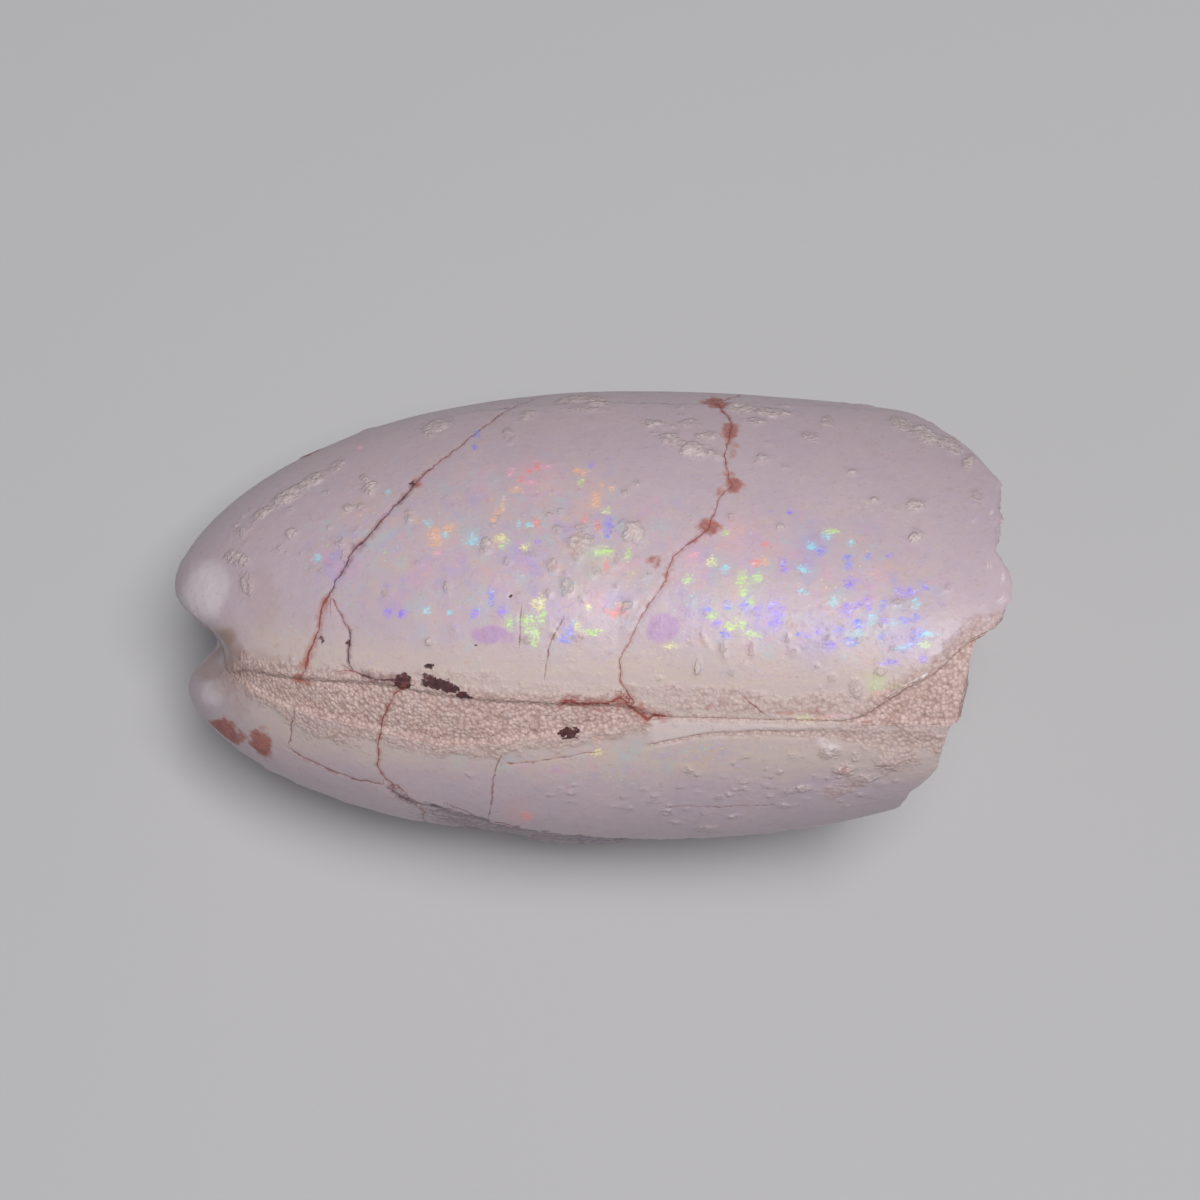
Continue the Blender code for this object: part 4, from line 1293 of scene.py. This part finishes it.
def inverse(tree, value):
    """One minus a value."""
    return maths(tree, "SUBTRACT", 1.0, value)


def worn(tree, strength, speck, spread=0.5, soft=0.15, middle=0.5):
    """Where a mark shows: its strength, made ragged by a speckle."""
    offset = maths(tree, "MULTIPLY_ADD", speck, spread, -0.5 * spread)
    return ease(tree, middle - soft, middle + soft, maths(tree, "ADD", strength, offset))


def cells(tree, place, scale):
    """Distance to the nearest scattered point, and that point's random colour."""
    inputs = {"Vector": place, "Scale": scale, "Randomness": 1.0}
    made = node(tree, "ShaderNodeTexVoronoi", inputs, feature="F1")
    return made.outputs["Distance"], made.outputs["Color"]


def moved(tree, place, offset):
    """Coordinates shifted, so that a noise differs from the one before."""
    inputs = {0: place, 1: (offset, offset, offset)}
    return node(tree, "ShaderNodeVectorMath", inputs, operation="ADD").outputs[0]


def opal_body(tree, place, base, streaks, shimmer):
    """The shell's own milky colour, with clouds, cream streaks and a faint shimmer."""
    colour = blend(tree, scaled(tree, 0.8, speckle(tree, place, 0.14, 4.0)), base, paint("cloud"))
    warm = scaled(tree, 0.4, speckle(tree, moved(tree, place, 40.0), 0.3, 4.0))
    colour = blend(tree, warm, colour, paint("warm cloud"))
    pits = scaled(tree, 0.20, speckle(tree, place, 1.7, 4.0, 0.65))
    colour = blend(tree, pits, colour, paint("pit"))
    lines = speckle(tree, millimetres(tree, (0.22, 3.2, 3.2)), 1.0, 3.0)
    colour = blend(tree, scaled(tree, 0.55, streaks), colour, paint("streak band"))
    cream = scaled(tree, 0.42, scaled(tree, lines, streaks))
    colour = blend(tree, cream, colour, paint("cream streak"))
    for hue, offset in ((paint("faint violet"), 3.0), (paint("faint pink"), 11.0),
                        (paint("faint teal"), 23.0), (paint("faint orange"), 31.0)):
        mottle = ease(tree, 0.48, 1.0, speckle(tree, moved(tree, place, offset), 0.7, 5.0, 0.7))
        colour = blend(tree, scaled(tree, 0.36, scaled(tree, mottle, shimmer)), colour, hue)
    return colour


def add_pinfire(tree, place, colour, shimmer):
    """Tiny sparks of every colour, in loose swarms where the shell shimmers."""
    gap, spark = cells(tree, place, 4.4)
    parts = node(tree, "ShaderNodeSeparateColor", {0: spark}).outputs
    inputs = {0: parts[0], 1: SPARK_SATURATION, 2: SPARK_VALUE}
    hue = node(tree, "ShaderNodeCombineColor", inputs, mode="HSV").outputs[0]
    chosen = ease(tree, 0.68, 0.82, parts[1])
    swarm = ease(tree, 0.5, 0.9, speckle(tree, moved(tree, place, 17.0), 0.5, 3.0))
    inside = inverse(tree, ease(tree, 0.18, 0.42, gap))
    on = scaled(tree, scaled(tree, inside, chosen), scaled(tree, swarm, shimmer))
    return blend(tree, scaled(tree, 0.6, on), colour, hue)


def add_fire(tree, place, colour, fire, level, net):
    """Flecks of fire with ragged edges, bright hearts and a glow, and fine nets between them."""
    stretched = millimetres(tree, (0.55, 1.0, 1.0))
    grain = speckle(tree, stretched, 7.5, 3.0, 0.65, 3.0)
    glow = scaled(tree, 0.22, ease(tree, 0.05, 0.7, level))
    flecks = worn(tree, level, grain, 1.3, 0.14, 0.66)
    inputs = {"Vector": place, "Scale": 3.2, "Randomness": 1.0}
    gap = node(tree, "ShaderNodeTexVoronoi", inputs, feature="DISTANCE_TO_EDGE").outputs[0]
    edges = inverse(tree, ease(tree, 0.01, 0.09, gap))
    patches = ease(tree, 0.45, 0.8, speckle(tree, moved(tree, place, 7.0), 1.6, 3.0))
    lines = scaled(tree, scaled(tree, edges, patches), ease(tree, 0.25, 0.8, net))
    on = maths(tree, "MAXIMUM", flecks, scaled(tree, 0.6, lines))
    heart = ease(tree, 0.55, 0.9, speckle(tree, moved(tree, stretched, 5.0), 4.2, 3.0))
    hot = blend(tree, scaled(tree, 0.5, heart), fire, paint("fleck heart"))
    soft = blend(tree, 0.5, hot, paint("milky fleck"))
    dim = speckle(tree, moved(tree, place, 13.0), 1.8, 3.0)
    hue = blend(tree, dim, soft, hot)
    return blend(tree, scaled(tree, 0.88, on), blend(tree, glow, colour, fire), hue)


def add_cracks_colour(tree, place, colour, distance, half, tint):
    """Cracks: a thin dark line with a broken, rusty stain along it."""
    wander = scaled(tree, 0.17, maths(tree, "SUBTRACT", noise(tree, place, 3.6, 3.0, 0.65), 0.5))
    away = maths(tree, "ADD", maths(tree, "SUBTRACT", distance, CRACK_REACH), wander)
    away = maths(tree, "ABSOLUTE", away)
    real = ease(tree, 0.005, 0.02, half)
    speck = speckle(tree, place, 2.0, 4.0, 0.65)
    swell = maths(tree, "MULTIPLY_ADD", speck, 1.3, 0.35)
    wide = maths(tree, "MAXIMUM", scaled(tree, half, swell), 0.001)
    stain = inverse(tree, ease(tree, 0.4, 2.6, maths(tree, "DIVIDE", away, wide)))
    stain = scaled(tree, scaled(tree, stain, real), maths(tree, "MULTIPLY_ADD", speck, 0.6, 0.08))
    edge = blend(tree, tint, paint("red crack edge"), paint("dark crack edge"))
    colour = blend(tree, stain, colour, edge)
    line = inverse(tree, ease(tree, 0.12, 0.58, maths(tree, "DIVIDE", away, wide)))
    line = scaled(tree, 0.85, scaled(tree, line, real))
    return blend(tree, line, colour, blend(tree, tint, paint("red crack"), paint("dark crack")))


def add_stains(tree, place, colour, rust, dark):
    """Rusty blotches and nearly black ones, both ragged."""
    speck = speckle(tree, place, 2.2, 4.0, 0.65)
    rust_on = worn(tree, rust, speck, 0.75, 0.34, 0.46)
    pale = blend(tree, speckle(tree, moved(tree, place, 3.0), 1.8, 3.0), paint("pale rust"),
                 paint("rust"))
    deep_red = blend(tree, speck, paint("deep rust"), paint("red rust"))
    deep_at = maths(tree, "MULTIPLY_ADD", speckle(tree, place, 4.2, 3.0, 0.7), 0.6, rust)
    rusty = blend(tree, ease(tree, 0.7, 1.35, deep_at), pale, deep_red)
    colour = blend(tree, scaled(tree, 0.85, rust_on), colour, rusty)
    grain = speckle(tree, place, 3.4, 4.0, 0.75)
    dark_on = worn(tree, dark, grain, 1.0, 0.14, 0.45)
    dark_on = scaled(tree, ease(tree, 0.1, 0.4, dark), dark_on)
    deep = blend(tree, speckle(tree, moved(tree, place, 9.0), 2.4, 3.0), paint("black stain"),
                 paint("brown stain"))
    return blend(tree, scaled(tree, 0.97, dark_on), colour, deep), rust_on


def sand_grains(tree, gap, tint):
    """Pinkish grains of several tints, with painted shade darkening the gaps between them."""
    tops = blend(tree, tint, paint("dark grain"), paint("pale grain"))
    return blend(tree, scaled(tree, 0.6, ease(tree, 0.30, 0.85, gap)), tops, paint("grain gap shade"))


def shell_material(name, valve):
    """Opalised shell: milky body, fire, crust, sand film, stains, cracks and broken wall."""
    material, tree, shader = start_material(name)
    place = millimetres(tree)
    crust, rust, dark, film, _ = attribute(tree, "marks")
    lilac, white, lunule, wall, _ = attribute(tree, "tints")
    _, _, _, level, fire = attribute(tree, "fire")
    _, _, _, haze, haze_colour = attribute(tree, "haze")
    distance, half, tint, ledge_and_shade, _ = attribute(tree, "lines")
    net, shimmer, streaks, glint, _ = attribute(tree, "extra")
    fine = speckle(tree, place, 3.2, 4.0, 0.7)
    coarse = speckle(tree, place, 1.3, 4.0, 0.65)
    colour = opal_body(tree, place, paint(valve), streaks, shimmer)
    clouds = scaled(tree, haze, maths(tree, "MULTIPLY_ADD", coarse, 0.75, 0.12))
    colour = blend(tree, clouds, colour, haze_colour)
    lilac_on = scaled(tree, 0.85, worn(tree, lilac, coarse, 0.5, 0.42, 0.5))
    colour = blend(tree, lilac_on, colour, paint("lilac"))
    # Worn white patches, with painted highlight glints at the broken edge
    white_on = scaled(tree, white, maths(tree, "MULTIPLY_ADD", coarse, 0.2, 0.62))
    colour = blend(tree, white_on, colour, paint("white"))
    colour = add_pinfire(tree, place, colour, shimmer)
    colour = add_fire(tree, place, colour, fire, level, net)
    stain = scaled(tree, lunule, maths(tree, "MULTIPLY_ADD", coarse, 0.35, 0.58))
    colour = blend(tree, stain, colour, paint("tan"))
    gap, grain = cells(tree, place, 4.6)
    tints = node(tree, "ShaderNodeSeparateColor", {0: grain}).outputs
    flake = scaled(tree, inverse(tree, ease(tree, 0.2, 0.5, gap)), ease(tree, 0.93, 0.97, tints[1]))
    colour = blend(tree, scaled(tree, 0.45, flake), colour, paint("loose grain"))
    crust_on = worn(tree, crust, fine, 0.6, 0.24, 0.44)
    cream = blend(tree, fine, paint("dark crust"), paint("pale crust"))
    colour = blend(tree, scaled(tree, 0.6, crust_on), colour, cream)
    film_on = worn(tree, film, coarse, 0.6, 0.38, 0.45)
    # Sand film on the shell, the gaps between its grains darkened with painted shade
    colour = blend(tree, scaled(tree, 0.8, film_on), colour, sand_grains(tree, gap, tints[0]))
    # Dark growth lines, and painted shade in a band along the lower outline
    ledge_and_shade_on = worn(tree, ledge_and_shade, fine, 0.5, 0.3, 0.4)
    colour = blend(tree, scaled(tree, 0.68, ledge_and_shade_on), colour, paint("ledge_and_shade"))
    colour, rust_on = add_stains(tree, place, colour, rust, dark)
    colour = add_cracks_colour(tree, place, colour, distance, half, tint)
    broken = blend(tree, speckle(tree, place, 1.1, 4.0), paint("pale break"), paint("dark break"))
    colour = blend(tree, wall, colour, broken)
    # Near-white painted highlight glints on the white chips of the broken corner
    colour = blend(tree, scaled(tree, 0.95, glint), colour, paint("glint"))
    tree.links.new(colour, shader.inputs["Base Color"])
    matt = maths(tree, "MAXIMUM", maths(tree, "MAXIMUM", crust_on, film_on), rust_on)
    matt = maths(tree, "MAXIMUM", matt, scaled(tree, 0.6, wall))
    rough = maths(tree, "MULTIPLY_ADD", matt, 0.42, VALVE_ROUGHNESS[valve] - 0.05)
    tree.links.new(maths(tree, "MULTIPLY_ADD", fine, 0.10, rough), shader.inputs["Roughness"])
    shader.inputs["Specular IOR Level"].default_value = VALVE_SPECULAR
    for setting, value in SUBSURFACE.items():
        shader.inputs["Subsurface " + setting].default_value = value
    rough_parts = maths(tree, "MAXIMUM", crust_on, film_on)
    grains = scaled(tree, inverse(tree, gap), scaled(tree, 0.5, rough_parts))
    lumps = scaled(tree, fine, maths(tree, "MULTIPLY_ADD", rough_parts, 0.45, 0.06))
    pits = scaled(tree, maths(tree, "MULTIPLY_ADD", crust_on, 0.25, 0.09), coarse)
    height = maths(tree, "ADD", maths(tree, "ADD", grains, lumps), pits)
    add_bump(tree, shader, height, VALVE_BUMP)
    return material


def add_bump(tree, shader, height, distance):
    """Fine relief of a surface, as high as the distance in metres."""
    inputs = {"Height": height, "Strength": BUMP_STRENGTH, "Distance": distance}
    tree.links.new(node(tree, "ShaderNodeBump", inputs).outputs[0], shader.inputs["Normal"])


def sand_material(name):
    """Rough sandstone whose grains differ in tint."""
    material, tree, shader = start_material(name)
    place = millimetres(tree)
    _, rust, dark, _, _ = attribute(tree, "marks")
    _, _, lunule, _, _ = attribute(tree, "tints")
    distance, half, tint, _, _ = attribute(tree, "lines")
    gap, grain = cells(tree, place, 4.8)
    shade = node(tree, "ShaderNodeSeparateColor", {0: grain}).outputs[0]
    fine = speckle(tree, place, 4.5, 3.0, 0.7)
    # Sand grains, the gaps between them darkened with painted shade
    colour = sand_grains(tree, gap, shade)
    patch = scaled(tree, 0.45, ease(tree, 0.5, 0.95, speckle(tree, place, 0.7, 4.0)))
    colour = blend(tree, patch, colour, paint("sand patch"))
    spots = scaled(tree, 0.5, ease(tree, 0.86, 0.96, speckle(tree, place, 2.6, 2.0)))
    colour = blend(tree, spots, colour, paint("sand speck"))
    stain = scaled(tree, lunule, maths(tree, "MULTIPLY_ADD", fine, 0.3, 0.55))
    colour = blend(tree, stain, colour, paint("sand tan"))
    colour, _ = add_stains(tree, place, colour, rust, dark)
    colour = add_cracks_colour(tree, place, colour, distance, half, tint)
    tree.links.new(colour, shader.inputs["Base Color"])
    shader.inputs["Roughness"].default_value = SAND_ROUGHNESS
    shader.inputs["Specular IOR Level"].default_value = SAND_SPECULAR
    height = maths(tree, "ADD", scaled(tree, 0.5, fine), inverse(tree, gap))
    add_bump(tree, shader, height, SAND_BUMP)
    return material


# Floor, light and camera, in metres. A light has its place, size, power and colour.
FLOOR_REACH = 1.5
FLOOR_LEVEL = -0.00002
FLOOR_COLOUR = (0.52, 0.52, 0.525, 1.0)
FLOOR_ROUGHNESS = 0.9
LIGHTS = {
    "key": ((0.09, -0.11, 0.60), 0.25, 3.3, (1.0, 0.985, 0.995)),
    "fill": ((-0.45, -0.35, 0.35), 0.5, 0.14, (0.96, 0.97, 1.0)),
}
LIGHT_AIM = (0.0, 0.0, 0.012)
SKY_COLOUR = (0.86, 0.87, 0.9, 1.0)
SKY_STRENGTH = 0.08
NEAREST_SEEN = 0.005


def add_floor():
    """A plain pale floor under the fossil."""
    mesh = bpy.data.meshes.new("floor")
    corners = [(x * FLOOR_REACH, y * FLOOR_REACH, FLOOR_LEVEL)
               for x, y in ((-1, -1), (1, -1), (1, 1), (-1, 1))]
    mesh.from_pydata(corners, [], [(0, 1, 2, 3)])
    material, _, shader = start_material("floor")
    shader.inputs["Base Color"].default_value = FLOOR_COLOUR
    shader.inputs["Roughness"].default_value = FLOOR_ROUGHNESS
    mesh.materials.append(material)
    floor = bpy.data.objects.new("floor", mesh)
    bpy.context.scene.collection.objects.link(floor)


def add_light(name, place, size, power, colour):
    """A soft square light that looks at the fossil."""
    lamp = bpy.data.lights.new(name, "AREA")
    lamp.size, lamp.energy, lamp.color = size, power, colour
    holder = bpy.data.objects.new(name, lamp)
    holder.location = place
    towards = Vector(LIGHT_AIM) - Vector(place)
    holder.rotation_euler = towards.to_track_quat("-Z", "Y").to_euler()
    bpy.context.scene.collection.objects.link(holder)


def add_camera():
    """The photograph's camera."""
    right, up, back = camera_axes()
    place = (camera_aim() + CAMERA_DISTANCE * back) * MM
    lens = bpy.data.cameras.new("camera")
    lens.sensor_width = SENSOR_WIDTH
    lens.lens = SENSOR_WIDTH * CAMERA_DISTANCE / PIXEL_SIZE / PHOTO_PIXELS
    lens.clip_start = NEAREST_SEEN
    camera = bpy.data.objects.new("camera", lens)
    axes = Matrix((right, up, back)).transposed()
    camera.matrix_world = Matrix.Translation(place.tolist()) @ axes.to_4x4()
    bpy.context.scene.collection.objects.link(camera)
    bpy.context.scene.camera = camera


def set_stage():
    """Soft light from above the camera, a weak fill, and plain colours."""
    add_floor()
    for name, settings in LIGHTS.items():
        add_light(name, *settings)
    world = bpy.data.worlds.new("world")
    world.use_nodes = True
    background = world.node_tree.nodes["Background"]
    background.inputs["Color"].default_value = SKY_COLOUR
    background.inputs["Strength"].default_value = SKY_STRENGTH
    bpy.context.scene.world = world
    bpy.context.scene.view_settings.view_transform = "Standard"
    add_camera()


def dress(piece, node_name, material):
    """Let a piece stand for its solid, ride with it and take its material."""
    piece.data.materials.append(material)
    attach(piece, "root")
    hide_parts(node_name)


def main():
    """Make the pieces, dress them, and set the stage."""
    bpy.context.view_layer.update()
    set_stage()
    upper = make_valve("upper_valve_surface", 1, UPPER_LIP, UPPER_BREAK, UPPER_NEAR_SHARE)
    lower = make_valve("lower_valve_surface", -1, LOWER_LIP, LOWER_BREAK, LOWER_NEAR_SHARE)
    filling = make_filling("sandstone_surface")
    dress(upper, "upper_valve",
          shell_material("opalised_shell", "upper valve"))
    dress(lower, "lower_valve",
          shell_material("opalised_shell_lower", "lower valve"))
    dress(filling, "sandstone_filling", sand_material("sandstone"))


main()
